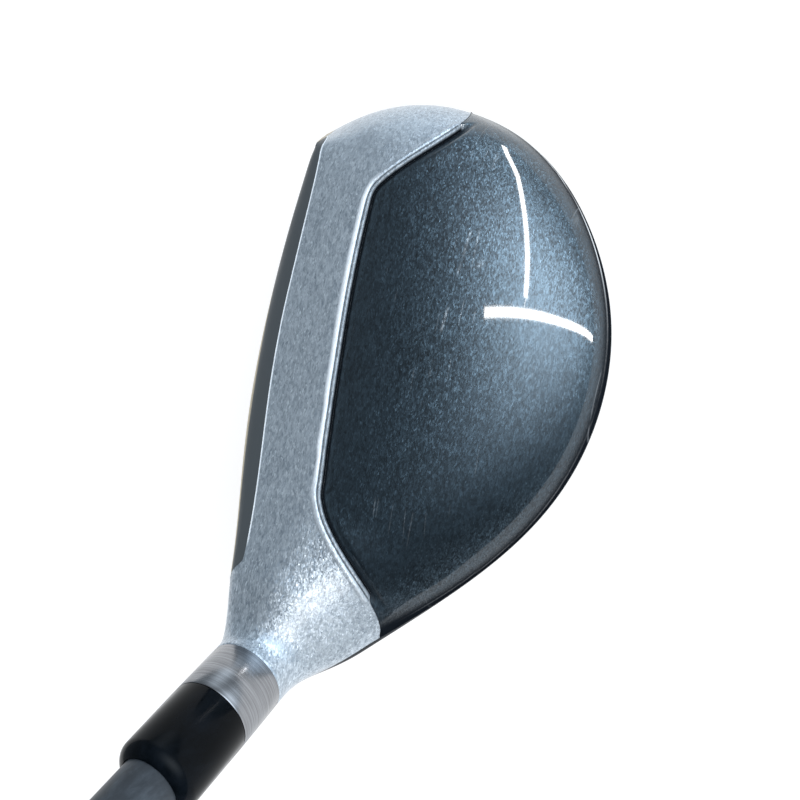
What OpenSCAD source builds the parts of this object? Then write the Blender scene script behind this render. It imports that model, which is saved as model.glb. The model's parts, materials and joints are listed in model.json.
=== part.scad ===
// Right-handed hybrid golf club, standing at address on its sole.
// +X runs from toe to heel, -Y faces the target, +Z is up. Millimetres.
// The origin is the centre of the flat sole plate, on the ground.

/* [Head] */
// Head length from toe to heel
head_length = 109; // [96:1:120]
// Head depth from leading edge to rear rim
head_depth = 66; // [54:1:72]
// Height of the top line of the face above the ground
topline_height = 34; // [31:0.5:38]
// Loft of the face in degrees
loft = 20; // [16:1:27]
// Wall of the front crown
crown_wall = 1.3; // [1:0.1:1.8]
// Wall of the sole and skirt
sole_wall = 1.8; // [1.2:0.1:2.4]
// Thickness of the face
face_wall = 2.6; // [2:0.1:3.2]
// Width of the bare lip along the top of the face
lip_width = 3.6; // [2.8:0.1:4.4]

/* [Crown panel] */
// Depth of the panel's face below the front crown
panel_recess = 0.6; // [0.3:0.1:0.8]
// Clear line between the front crown and the panel
panel_gap = 0.25; // [0.1:0.05:0.5]
// Width of the ledge under the panel's edge
ledge_width = 5; // [3:0.5:7]
// Thickness of the ledge
ledge_wall = 0.9; // [0.6:0.1:1.2]
// How far forward from the rim the panel reaches, in quarter turns of the crown
panel_reach = 1.24; // [1.14:0.02:1.34]
// How squarely the panel's front edge turns at the toe
toe_turn = 2.2; // [1.6:0.2:4]
// How squarely the panel's front edge turns at the heel
heel_turn = 6.4; // [3:0.2:9]

/* [Sole] */
// Length of the sole plate
sole_plate_length = 40; // [30:1:46]
// Width of the sole plate, front to back
sole_plate_width = 18; // [12:1:22]
// Thickness of the sole plate
sole_plate_wall = 1.6; // [1.2:0.1:2.4]
// How far the sole plate stands out of the sole
sole_plate_proud = 0.5; // [0.3:0.1:0.8]
// Diameter of the rear weight
weight_d = 13; // [9:0.5:15]
// Height of the rear weight
weight_h = 5; // [3:0.5:7]

/* [Hosel] */
// Lie angle between the shaft and the ground, in degrees
lie = 60; // [57:0.5:63]
// Outside diameter of the hosel
hosel_d = 13.4; // [12.6:0.1:14.4]
// Distance along the shaft axis from the ground to the top of the painted neck
neck_top = 40.2; // [39:0.1:42]
// Length of the bare band at the top of the hosel
band_length = 9.3; // [6:0.1:14]
// Depth of the hosel bore
bore_depth = 32; // [26:0.5:33]
// Clearance between the shaft tip and the bore, on the radius
tip_clearance = 0.04; // [0.02:0.01:0.08]

/* [Ferrule] */
// Length of the ferrule
ferrule_length = 13.7; // [12:0.1:26]
// Diameter of the ferrule at its upper end
ferrule_top_d = 13.1; // [12:0.1:13.2]
// Radius that rounds the ferrule's upper end
ferrule_round = 2.6; // [1:0.1:3]

/* [Shaft] */
// Length of the club along the shaft axis from the ground to the grip's end
club_length = 1029; // [960:1:1070]
// Diameter of the shaft's tip
tip_d = 9.4; // [8.5:0.1:10.2]
// Length of the straight stretch at the tip
tip_length = 90; // [70:5:150]
// Diameter of the shaft's butt
butt_d = 15.2; // [14.5:0.1:15.6]
// Wall of the shaft at the tip
tip_wall = 2; // [1.5:0.1:2.4]
// Wall of the shaft at the butt
butt_wall = 1.2; // [0.9:0.1:1.6]
// Length of the brass pin inside the tip
pin_length = 22; // [12:1:28]

/* [Grip] */
// Length of the grip
grip_length = 267; // [250:1:280]
// Outside diameter of the grip at its mouth
grip_mouth_d = 18.4; // [17.8:0.1:19.6]
// Outside diameter of the grip at its butt
grip_butt_d = 27.4; // [25:0.1:29]
// Thickness of the tape under the grip
tape_wall = 0.3; // [0.2:0.05:0.5]
// Thickness of the cap at the grip's butt
cap_wall = 3; // [2:0.2:4]
// Diameter of the vent hole in the cap
vent_d = 2.5; // [1.5:0.1:3.5]

/* [Hidden] */
$fn = 96;

// Where the shaft axis meets the ground, and the axis itself.
foot = [38, -10, 0];
axis_dir = [cos(lie), 0, sin(lie)];
top_dir = [-sin(lie), 0, cos(lie)];
rear_dir = [0, 1, 0];
up = [0, 0, 1];
hosel_r = hosel_d/2;

// A point on the neck's end circle: 0 is to the rear, 90 towards the toe.
function neck_circle(a) =
    neck_top*axis_dir + hosel_r*(cos(a)*rear_dir + sin(a)*top_dir);

// Scales the rails from the nominal head to the one that the sizes ask for.
nominal = [109, 66, 34];
head_scale = [head_length/nominal.x, head_depth/nominal.y, topline_height/nominal.z];
function sized(p) = [p.x*head_scale.x, p.y*head_scale.y, p.z*head_scale.z];

// Control points of the five rails, from the toe to the neck, measured from the foot.
function rail(points, neck_angle) = concat([for (p = points) sized(p)], [neck_circle(neck_angle)]);
// Top edge of the face
edge_rail = rail([[-70, -9.5, 31.5], [-69, -9.4, 32.1], [-67.2, -9.7, 32.7],
    [-62.8, -9.9, 33.2], [-55.2, -10.5, 33.6], [-45, -11.1, 33.8], [-32, -11.4, 33.9],
    [-16, -10.4, 34.2], [3.5, -6.8, 34.2]], 180);
// Ridge of the crown
ridge_rail = rail([[-73.2, -11, 26.8], [-74.6, -5, 29], [-73.8, 1, 31.3], [-69, 5.5, 33.6],
    [-59, 8.8, 35.2], [-45, 10.3, 35.9], [-28.5, 10, 36], [-12, 7, 36], [3, 2.5, 36.4]], 90);
// Widest line round the toe, the rear and the heel
rim_rail = rail([[-74.9, -13.4, 19.5], [-80.2, -4.5, 19.5], [-82.4, 8.8, 20],
    [-77.1, 25.4, 19.5], [-64.8, 37.3, 18.5], [-45.8, 45.7, 18], [-23.7, 44.1, 18],
    [-5.1, 33.2, 19], [13.7, 13.8, 24.5]], 0);
// Lowest line of the sole
keel_rail = rail([[-75.2, -16, 11], [-76.6, -8, 5.6], [-75.5, 0, 2.5], [-70, 6, 1.2],
    [-59, 9.5, 0.6], [-45, 11, 0.5], [-28, 10.5, 0.5], [-8, 7.5, 1.8], [21, 0, 9]], -90);
// Leading edge: its heights; its place follows the top edge and the loft
lead_heights = [5.8, 4.4, 3.6, 3.1, 2.8, 2.7, 2.8, 3.7, 9];
toe_round = 1.2;
heel_tuck = 0.62;
lead_rail = concat([for (i = [0:8]) let (e = edge_rail[i], z = lead_heights[i]*head_scale.z)
    [e.x - (i == 0 ? toe_round : 0),
     e.y - (e.z - z)*tan(loft)*(i == 8 ? heel_tuck : 1), z]], [neck_circle(-135)]);
last = 9;

// Uniform cubic B-spline through the ends of its control points.
function spline(p, t) = let (n = len(p), i = max(0, min(n - 2, floor(t))), f = t - i,
    a = i == 0 ? 2*p[0] - p[1] : p[i - 1], d = i == n - 2 ? 2*p[n - 1] - p[n - 2] : p[i + 2])
    (pow(1 - f, 3)*a + (3*pow(f, 3) - 6*f*f + 4)*p[i]
     + (-3*pow(f, 3) + 3*f*f + 3*f + 1)*p[i + 1] + pow(f, 3)*d)/6;
function ease(x) = let (c = max(0, min(1, x))) c*c*c*(c*(6*c - 15) + 10);
function mix(a, b, w) = (1 - w)*a + w*b;
function unit(a) = a/max(norm(a), 1e-9);
function flat(a) = [a.x, a.y, 0];
function hermite(p, q, m, n, v) = (2*v*v*v - 3*v*v + 1)*p + (v*v*v - 2*v*v + v)*m
    + (3*v*v - 2*v*v*v)*q + (v*v*v - v*v)*n;

// Handle lengths that make a cubic follow 90 and 45 degrees of a circle.
arc90 = 4*tan(22.5);
arc45 = 4*tan(11.25);
// How far the crown first rises behind the face, the fullness of its rear half,
// its fall to the rim, the skirt's fall from it and the sole's fullness at its rear
crown_rise = 0.1;
crown_full = 1.45;
crown_fall = 1.5;
skirt_fall = 1.4;
sole_full = 1.3;
// The head turns into the neck over the last sections, from the first of these on;
// the face's bow and its rolled edge fade in from the toe over the other two.
neck_from = 6.5;
bow_over = 3.5;
roll_over = 1.5;

// One section of the head: its five corners, the handles leaving and reaching each,
// how far it has turned into the neck's cylinder, its bow and its roll.
function section(t) = let (
    e = spline(edge_rail, t), r = spline(ridge_rail, t), m = spline(rim_rail, t),
    k = spline(keel_rail, t), l = spline(lead_rail, t), w = ease((t - neck_from)/(last - neck_from)),
    c90 = hosel_r*arc90, c45 = hosel_r*arc45, chord = unit(flat(m - e)),
    crest = chord + ((r.z - e.z)/norm(flat(r - e)) - crown_rise)*up,
    back = unit(flat(l - m)), slant = (top_dir - rear_dir)/sqrt(2),
    out = [mix((r - e) + crown_rise*norm(r - e)*up, c90*top_dir, w),
           mix(crown_full*norm(flat(m - r))*crest, c90*rear_dir, w),
           mix(-skirt_fall*abs(k.z - m.z)*up, -c90*top_dir, w),
           mix(norm(l - k)*back, -c45*rear_dir, w),
           mix(e - l, c45*slant, w)],
    into = [mix(norm(r - e)*crest, c90*rear_dir, w),
            mix(-crown_fall*abs(m.z - r.z)*up, -c90*top_dir, w),
            mix(sole_full*norm(flat(k - m))*back, -c90*rear_dir, w),
            mix(l - k, c45*slant, w),
            mix(e - l, c45*top_dir, w)])
    [[e, r, m, k, l, e], out, into, ease(t - (last - 1)), 1 - ease(t/bow_over),
     ease(t/roll_over)];

// Angle on the neck's circle that a place q on the section turns into.
function neck_angle(q) = q < 3 ? 180 - 90*q : 45 - 45*q;
function plain_skin(s, q) = let (k = min(4, floor(q)), v = q - k)
    hermite(s[0][k], s[0][k + 1], s[1][k], s[2][k], v);
toe_section = section(0);
// Length of one quarter turn of the section over the crown and down the sole, roughly
quarter = 20.5;
// The roll from face to crown runs from here on the face to the lip's end on the crown.
roll_q = 0.06;
lip_q = lip_width/quarter;

// A point of the head's outer skin. q runs round the section: 0 top edge of the face,
// 1 crown ridge, 2 rim, 3 keel, 4 leading edge, 5 top edge again. The face's
// lines bow towards the toe, so that the first one lies on the toe's edge.
function wrap(q) = q < 0 ? q + 5 : (q > 5 ? q - 5 : q);
function bowed_skin(s, q) = plain_skin(s, q) + (q > 4
    ? s[4]*(plain_skin(toe_section, 20 - 4*q) - plain_skin(toe_section, q)) : [0, 0, 0]);
function rolled_skin(s, q) = let (u = (q > 4 ? q - 5 + roll_q : q + roll_q)/(roll_q + lip_q))
    u < 0 || u > 1 ? bowed_skin(s, q) : mix(bowed_skin(s, q), pow(1 - u, 2)
        *bowed_skin(s, 5 - roll_q) + 2*u*(1 - u)*s[0][0] + u*u*plain_skin(s, lip_q), s[5]);
function skin(s, q0) = let (q = wrap(q0), p = rolled_skin(s, q), on_neck = (p*axis_dir)*axis_dir
        + hosel_r*(cos(neck_angle(q))*rear_dir + sin(neck_angle(q))*top_dir))
    mix(p, on_neck, s[3]);

// Outward normal of the skin.
step = 0.02;
function normal(t, q) = let (t0 = max(0, t - step), t1 = min(last, t + step),
    along = skin(section(t1), q) - skin(section(t0), q),
    s = section(t), around = skin(s, q + step) - skin(s, q - step))
    unit(cross(along, around));

// Places on the section where one piece hands over to the next.
rim_q = 2;
lead_q = 3.8;
keel_side = 0.6;
seam = 0.004;
face_heel = 7.95;
face_end = 8.5;
toe_wall_t = 0.28;
toe_lap_t = toe_wall_t - seam;
// Where the sole's front seam closes in from the toe
toe_close = 0.8;
// The lip widens towards the heel from here, by this much at the face's heel end, and
// at the toe by this much, over this length.
lip_from = 5.2;
lip_heel = 0.21;
lip_toe = 0.45;
lip_over = 1.9;
function lip_edge(t) = lip_q + lip_heel*pow(max(0, t - lip_from)/(face_heel - lip_from), 2)
    + lip_toe*pow(max(0, 1 - (t - toe_wall_t)/lip_over), 3);
function lower_rim(t) = rim_q + keel_side*ease((t - panel_heel)/(last - panel_heel));
function lower_lead(t) = 4 - seam - (4 - lead_q)*ease(t/toe_close)
    - (keel_side - 4 + lead_q)*ease((t - panel_heel)/(last - panel_heel));
function front_line(t) = mix(seam + lip_edge(max(t, toe_wall_t))*min(1, t/toe_wall_t),
    lower_lead(t) - 5 + 2*seam, ease((t - face_heel)/(face_end - face_heel)));

// Front edge of the crown panel: its two ends on the rim, its lean towards the toe
// and the fullness of its corners.
panel_toe = 2.415;
panel_heel = 7.78;
panel_lean = 0.238;
corner_full = 0.748;
function panel_edge(t) = let (u = (2*t - panel_toe - panel_heel)/(panel_heel - panel_toe))
    rim_q - (panel_reach - panel_lean*u)
        *pow(max(0, 1 - pow(abs(u), u < 0 ? toe_turn : heel_turn)), corner_full);

// Sections that the head's pieces share, closest where the face ends in the neck.
function spread(a, b, n) = [for (i = [0:n]) a + (b - a)*i/n];
panel_steps = 32;
panel_ts = [for (i = [0:panel_steps])
    mix(panel_toe, panel_heel, (1 - cos(180*i/panel_steps))/2)];
head_ts = concat(spread(toe_wall_t, panel_toe, 8), [for (i = [1:panel_steps - 1]) panel_ts[i]],
    spread(panel_heel, face_heel, 2), [for (i = [1:14]) mix(face_heel, face_end, i/14)],
    [for (i = [1:5]) mix(face_end, last, i/5)]);

// Solid between two grids of points with the same rows and columns.
module slab(top, bottom) {
    m = len(top);
    n = len(top[0]);
    k = m*n;
    function quad(a, b, c, d) = [[a, b, c], [a, c, d]];
    faces = concat(
        [for (i = [0:m - 2], j = [0:n - 2], f = quad(i*n + j, i*n + j + 1, (i + 1)*n + j + 1,
            (i + 1)*n + j)) f],
        [for (i = [0:m - 2], j = [0:n - 2], f = quad(k + i*n + j, k + (i + 1)*n + j,
            k + (i + 1)*n + j + 1, k + i*n + j + 1)) f],
        [for (i = [0:m - 2], f = quad(i*n, (i + 1)*n, k + (i + 1)*n, k + i*n)) f],
        [for (i = [0:m - 2], f = quad(i*n + n - 1, k + i*n + n - 1, k + (i + 1)*n + n - 1,
            (i + 1)*n + n - 1)) f],
        [for (j = [0:n - 2], f = quad(j, k + j, k + j + 1, j + 1)) f],
        [for (j = [0:n - 2], f = quad((m - 1)*n + j, (m - 1)*n + j + 1, k + (m - 1)*n + j + 1,
            k + (m - 1)*n + j)) f]);
    polyhedron(points = concat([for (row = top, p = row) p], [for (row = bottom, p = row) p]),
        faces = faces, convexity = 6);
}

// Places round one section between two limits, and the points of a patch at one depth.
function between(a, b, n) = [for (j = [0:n]) a + (b - a)*j/n];
function patch(rows, depth) = [for (r = rows) let (s = section(r[0]))
    [for (q = r[1]) skin(s, q) - depth*normal(r[0], q)]];

// Walls thin out to this in the neck, which leaves room for the hosel tube.
neck_wall = 1.05;
neck_gap = 0.05;
function wall_at(t, wall) = mix(wall, neck_wall, ease((t - neck_from)/2));
function patch_to_wall(rows, wall) = [for (r = rows) let (s = section(r[0]))
    [for (q = r[1]) skin(s, q) - wall_at(r[0], wall)*normal(r[0], q)]];

gap_q = panel_gap/quarter;
function on_panel(t) = t > panel_toe && t < panel_heel;
crown_rows = [for (t = head_ts) [t, between(front_line(t),
    on_panel(t) ? panel_edge(t) - gap_q : lower_rim(t), 12)]];
module crown_front() color([0.62, 0.66, 0.71]) translate(foot)
    slab(patch(crown_rows, 0), patch_to_wall(crown_rows, crown_wall));

// The panel sits below the front crown and comes flush with the skirt at the rim.
rim_blend = 0.4;
function recess_at(q) = panel_recess*(1 - ease((q - rim_q + rim_blend)/rim_blend));
panel_rows = [for (t = panel_ts) [t, between(min(panel_edge(t) + gap_q, rim_q - 2*seam),
    rim_q, 12)]];
module crown_panel() color([0.16, 0.19, 0.22]) translate(foot)
    slab([for (r = panel_rows) let (s = section(r[0]))
            [for (q = r[1]) skin(s, q) - recess_at(q)*normal(r[0], q)]],
        patch(panel_rows, crown_wall));

// Flange that carries the edges of the front crown and the panel.
ledge_q = ledge_width/quarter;
ledge_lap = 0.08;
ledge_rim_q = rim_q - ledge_lap/2;
bond = 0.02;
ledge_rows = [for (t = panel_ts) let (e = panel_edge(t))
    [t, between(min(e, rim_q) - ledge_lap, min(e + ledge_q, ledge_rim_q), 4)]];
module crown_ledge() color([0.5, 0.51, 0.53]) translate(foot)
    slab(patch(ledge_rows, crown_wall + bond), patch(ledge_rows, crown_wall + bond + ledge_wall));

sole_rows = [for (t = head_ts) [t, between(lower_rim(t) + seam, lower_lead(t) - seam, 16)]];
plate_corner = 5;
plate_gap = 0.05;
module plate_outline(grow) {
    square([sole_plate_length - 2*plate_corner, sole_plate_width + 2*grow], center = true);
    square([sole_plate_length + 2*grow, sole_plate_width - 2*plate_corner], center = true);
    for (x = [-1, 1], y = [-1, 1])
        translate([x*(sole_plate_length/2 - plate_corner), y*(sole_plate_width/2 - plate_corner)])
            circle(plate_corner + grow);
}
module sole_shell() color([0.35, 0.37, 0.4]) difference() {
    translate(foot) slab(patch(sole_rows, 0), patch_to_wall(sole_rows, sole_wall));
    translate([0, 0, -head_scale.z]) linear_extrude(head_scale.z + sole_plate_wall + plate_gap)
        plate_outline(plate_gap);
}
module sole_plate() color([0.66, 0.67, 0.68]) linear_extrude(sole_plate_wall) plate_outline(0);

// Weight pad bonded inside the rear of the sole.
weight_t = 5;
weight_q = 2.46;
weight_side = weight_d/quarter;
weight_rows = [for (t = spread(weight_t - weight_side, weight_t + weight_side, 8))
    [t, between(weight_q - weight_side/4, weight_q + weight_side/4, 5)]];
module rear_weight() color([0.4, 0.4, 0.42]) translate(foot)
    slab(patch(weight_rows, sole_wall + bond), patch(weight_rows, sole_wall + bond + weight_h));

// Face with its returned edges. Its toe edge laps back to where the shells begin.
face_ts = concat([0, 0.1, 0.2], [for (t = head_ts) if (t < face_end - seam) t]);
// Places up the face: its lower lip, the plain wall and the rolled upper lip
low_lip = 0.15;
top_lip = 0.75;
face_ws = concat(spread(0, low_lip, 2), spread(low_lip + 0.07, top_lip, 8),
    spread(top_lip + 0.03, 1, 8));
function face_q(t, w) = mix(lower_lead(t), front_line(t) + 5, w);
function face_depth(w) = w < low_lip ? mix(sole_wall, face_wall, w/low_lip)
    : (w > top_lip ? mix(face_wall, crown_wall, (w - top_lip)/(1 - top_lip)) : face_wall);
thin_from = 7.2;
function face_at(t, w) = mix(face_depth(w), neck_wall, ease((t - thin_from)/(face_end - thin_from)));
function toe_lap(w) = skin(section(toe_lap_t), max(front_line(toe_lap_t),
    min(lower_lead(toe_lap_t), 20 - 4*face_q(0, w))));
toe_back_t = 0.6;
function face_back(t, w) = t < toe_back_t
    ? mix(toe_lap(w), face_back(toe_back_t, w), t/toe_back_t)
    : skin(section(t), face_q(t, w)) - face_at(t, w)*normal(t, face_q(t, w));
module face_cup() color([0.45, 0.44, 0.42]) translate(foot)
    slab([for (t = face_ts) let (s = section(t)) [for (w = face_ws) skin(s, face_q(t, w))]],
        [for (t = face_ts) [for (w = face_ws) face_back(t, w)]]);

// Everything on the shaft axis is turned about it, from its own lower end up.
module on_axis(h) translate(foot) rotate([0, 90 - lie, 0]) translate([0, 0, h]) children();
function ring(r0, r1, h) = [[r0, 0], [r1, 0], [r1, h], [r0, h]];

band_top = neck_top + band_length;
bore_bottom = band_top - bore_depth;
bore_r = tip_d/2 + tip_clearance;
tube_r = hosel_r - neck_wall - neck_gap;
tube_floor = 2.5;
tube_foot = bore_bottom - tube_floor;
module hosel_tube() color([0.72, 0.7, 0.66]) on_axis(tube_foot) difference() {
    union() {
        cylinder(r = tube_r, h = neck_top + neck_gap - tube_foot);
        translate([0, 0, neck_top + neck_gap - tube_foot])
            cylinder(r = hosel_r, h = band_length - neck_gap);
    }
    translate([0, 0, tube_floor]) cylinder(r = bore_r, h = bore_depth + 1);
}

shaft_gap = 0.03;
module ferrule() color([0.04, 0.05, 0.07]) on_axis(band_top + shaft_gap) difference() {
    rotate_extrude() union() {
        polygon([[0, 0], [hosel_r, 0], [ferrule_top_d/2, ferrule_length - ferrule_round],
            [ferrule_top_d/2 - ferrule_round, ferrule_length],
            [0, ferrule_length]]);
        intersection() {
            translate([ferrule_top_d/2 - ferrule_round, ferrule_length - ferrule_round])
                circle(ferrule_round);
            square([ferrule_top_d/2, ferrule_length]);
        }
    }
    translate([0, 0, -1]) cylinder(r = bore_r, h = ferrule_length + 2);
}

// The brass pin's flange lies on the floor of the bore; the shaft stands on it.
pin_flange = 1.2;
pin_foot = bore_bottom + shaft_gap;
shaft_foot = pin_foot + pin_flange + shaft_gap;
shaft_end = club_length - cap_wall - shaft_gap;
shaft_length = shaft_end - shaft_foot;
module shaft() color([0.3, 0.33, 0.35]) on_axis(shaft_foot) rotate_extrude()
    polygon([[tip_d/2 - tip_wall, 0], [tip_d/2, 0], [tip_d/2, tip_length],
        [butt_d/2, shaft_length - grip_length], [butt_d/2, shaft_length],
        [butt_d/2 - butt_wall, shaft_length], [butt_d/2 - butt_wall, shaft_length - grip_length],
        [tip_d/2 - tip_wall, tip_length]]);

module tip_pin() color("goldenrod") on_axis(pin_foot) {
    cylinder(r = tip_d/2 - shaft_gap, h = pin_flange);
    cylinder(r = tip_d/2 - tip_wall - shaft_gap, h = pin_flange + pin_length);
}

grip_foot = shaft_end - grip_length;
tape_short = 6;
tape_r = butt_d/2 + shaft_gap;
grip_bore = tape_r + tape_wall + shaft_gap;
module grip_tape() color([0.85, 0.83, 0.76]) on_axis(grip_foot + tape_short)
    rotate_extrude() polygon(ring(tape_r, tape_r + tape_wall, grip_length - 2*tape_short));

mouth_lip = 4;
butt_land = 12;
module grip_sleeve() color([0.1, 0.1, 0.1]) on_axis(grip_foot) rotate_extrude()
    polygon([[grip_bore, 0], [grip_mouth_d/2, 0], [grip_mouth_d/2, mouth_lip],
        [grip_butt_d/2, grip_length - butt_land], [grip_butt_d/2, grip_length],
        [grip_bore, grip_length]]);

cap_round = 1.6;
module grip_cap() color([0.12, 0.12, 0.12]) on_axis(shaft_end + shaft_gap) difference() {
    rotate_extrude() {
        square([grip_butt_d/2 - cap_round, cap_wall]);
        square([grip_butt_d/2, cap_wall - cap_round]);
        translate([grip_butt_d/2 - cap_round, cap_wall - cap_round]) circle(cap_round);
    }
    translate([0, 0, -1]) cylinder(d = vent_d, h = cap_wall + 2);
}

sole_shell();
sole_plate();
rear_weight();
face_cup();
crown_front();
crown_ledge();
crown_panel();
hosel_tube();
ferrule();
shaft();
tip_pin();
grip_tape();
grip_sleeve();
grip_cap();
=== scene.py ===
"""Right-handed hybrid golf club, standing at address on its sole.

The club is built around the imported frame, in metres. +X runs from toe to heel, -Y faces the
target and +Z is up. The head's surfaces are given by the same rails as the CAD head.
"""

import json
import logging
import math
from collections.abc import Sequence
from dataclasses import dataclass, field
from enum import Enum

import bpy
import numpy as np
from mathutils import Matrix, Vector

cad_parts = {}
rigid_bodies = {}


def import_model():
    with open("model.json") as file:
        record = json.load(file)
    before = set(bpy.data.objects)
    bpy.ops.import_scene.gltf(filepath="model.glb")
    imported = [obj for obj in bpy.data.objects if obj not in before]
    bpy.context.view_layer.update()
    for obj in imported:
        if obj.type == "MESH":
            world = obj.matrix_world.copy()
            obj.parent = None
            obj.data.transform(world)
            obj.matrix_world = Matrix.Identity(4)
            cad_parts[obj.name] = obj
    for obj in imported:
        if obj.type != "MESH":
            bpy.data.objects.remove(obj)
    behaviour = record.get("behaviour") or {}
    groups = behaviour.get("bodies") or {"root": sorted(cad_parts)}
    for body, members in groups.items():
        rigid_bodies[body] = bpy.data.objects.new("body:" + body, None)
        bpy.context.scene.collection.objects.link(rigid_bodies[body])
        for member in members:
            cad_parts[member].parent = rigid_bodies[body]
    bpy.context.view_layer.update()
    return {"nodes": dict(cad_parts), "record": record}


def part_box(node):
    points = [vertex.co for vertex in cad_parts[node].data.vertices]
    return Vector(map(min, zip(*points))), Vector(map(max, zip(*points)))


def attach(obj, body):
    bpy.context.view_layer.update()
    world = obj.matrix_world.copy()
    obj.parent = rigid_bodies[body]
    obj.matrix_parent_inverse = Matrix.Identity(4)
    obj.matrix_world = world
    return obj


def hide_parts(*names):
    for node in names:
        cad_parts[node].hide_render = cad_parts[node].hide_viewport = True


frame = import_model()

MM = 0.001
NUDGE = 0.01  # how far a slope of the skin is measured over, as t or q
WELD = 2e-6  # vertices nearer than this are one, in metres
LATHE_STEPS = 144  # steps round a turned piece
log = logging.getLogger("hybrid_club")


class Slot(Enum):
    """The record's material slots of the pieces that are made here."""

    SILVER = "silver_paint"
    DARK = "dark_paint"
    SOLE = "sole_paint"
    FACE = "face_steel"
    PLATE = "plate_steel"
    BAND = "band_steel"
    FERRULE = "ferrule_plastic"
    SHAFT = "shaft_lacquer"
    GRIP = "grip_rubber"


# ---------------------------------------------------------------- shaft axis


@dataclass(frozen=True)
class ShaftAxis:
    """The line that the hosel, shaft and grip share.

    Attributes:
        foot: where the axis meets the ground, in metres.
        along: unit vector up the shaft.
    """

    foot: np.ndarray
    along: np.ndarray

    @classmethod
    def from_record(cls, record: dict) -> "ShaftAxis":
        """Reads the axis from the record's vent hole.

        Args:
            record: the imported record.

        Returns:
            The axis, with its foot on the ground.
        """
        vent = next(m for m in record["mounts"] if m["name"] == "vent_hole")
        along = np.array(vent["axis"], float)
        along /= np.linalg.norm(along)
        top = np.array(vent["pos_m"], float)
        return cls(foot=top - along * top[2] / along[2], along=along)

    @property
    def top_side(self) -> np.ndarray:
        """Unit vector square to the axis, towards the toe and up."""
        return np.array([-self.along[2], 0.0, self.along[0]])

    def matrix(self) -> Matrix:
        """Places a piece that was made upright on the axis, with its zero on the ground."""
        turn = Vector((0, 0, 1)).rotation_difference(Vector(self.along)).to_matrix().to_4x4()
        return Matrix.Translation(Vector(self.foot)) @ turn


# ---------------------------------------------------------------- head surface


def ease(x: np.ndarray | float) -> np.ndarray:
    """A smooth step from 0 to 1 with flat ends."""
    c = np.clip(x, 0.0, 1.0)
    return c * c * c * (c * (6 * c - 15) + 10)


def rise(x: np.ndarray | float, start: float, over: float) -> np.ndarray:
    """Goes smoothly from 0 at a start to 1 after a stretch."""
    return ease((x - start) / over)


def fade(x: np.ndarray | float, end: float, over: float) -> np.ndarray:
    """Goes smoothly from 1 to 0 over the stretch before an end."""
    return ease((end - x) / over)


def blend(a: np.ndarray, b: np.ndarray, w: np.ndarray) -> np.ndarray:
    """Weighted mean of a and b, where w is the share of b."""
    return (1 - w) * a + w * b


def length(a: np.ndarray) -> np.ndarray:
    """Length of each vector, with its last axis kept."""
    return np.linalg.norm(a, axis=-1, keepdims=True)


def unit(a: np.ndarray) -> np.ndarray:
    """Each vector at length one."""
    return a / np.maximum(length(a), 1e-9)


def flat(a: np.ndarray) -> np.ndarray:
    """Each vector without its height."""
    return a * np.array([1.0, 1.0, 0.0])


def joined_stations(ends: Sequence[float], counts: Sequence[int]) -> np.ndarray:
    """Evenly spaced places on runs that follow each other.

    Args:
        ends: the start of the first run, and the end of each.
        counts: places on each run, with both its ends.

    Returns:
        The places, where those that two runs share come once.
    """
    runs = [np.linspace(a, b, n) for a, b, n in zip(ends, ends[1:], counts)]
    return np.concatenate([*(run[:-1] for run in runs[:-1]), runs[-1]])


def spline(points: np.ndarray, t: np.ndarray) -> np.ndarray:
    """Uniform cubic B-spline through the ends of its control points.

    Args:
        points: control points, one row each.
        t: places along the spline, one unit per control point.

    Returns:
        A point for each place.
    """
    n = len(points)
    padded = np.vstack([2 * points[0] - points[1], points, 2 * points[-1] - points[-2]])
    i = np.clip(np.floor(t).astype(int), 0, n - 2)
    f = (t - i)[..., None]
    return (
        (1 - f) ** 3 * padded[i]
        + (3 * f**3 - 6 * f**2 + 4) * padded[i + 1]
        + (-3 * f**3 + 3 * f**2 + 3 * f + 1) * padded[i + 2]
        + f**3 * padded[i + 3]
    ) / 6


@dataclass(frozen=True)
class Section:
    """Sections of the head, one for each column.

    Attributes:
        corners: six corners by columns by three; the last one is the first.
        leaving: handles leaving the first five corners.
        reaching: handles reaching the last five.
        neck_share: how far each section has turned into the neck.
        bow_share: how far its face bows towards the toe.
        roll_share: how far its top edge is rolled.
    """

    corners: np.ndarray
    leaving: np.ndarray
    reaching: np.ndarray
    neck_share: np.ndarray
    bow_share: np.ndarray
    roll_share: np.ndarray

    def plain(self, q: np.ndarray) -> np.ndarray:
        """Points on the five cubic arcs.

        Args:
            q: places round the section, whose last axis is the columns.

        Returns:
            A point for each q.
        """
        k = np.clip(np.floor(q).astype(int), 0, 4)
        v = (q - k)[..., None]
        column = np.arange(self.corners.shape[1]) if self.corners.shape[1] > 1 else 0
        return ((2 * v**3 - 3 * v**2 + 1) * self.corners[k, column]
                + (v**3 - 2 * v**2 + v) * self.leaving[k, column]
                + (3 * v**2 - 2 * v**3) * self.corners[k + 1, column]
                + (v**3 - v**2) * self.reaching[k, column])


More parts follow.
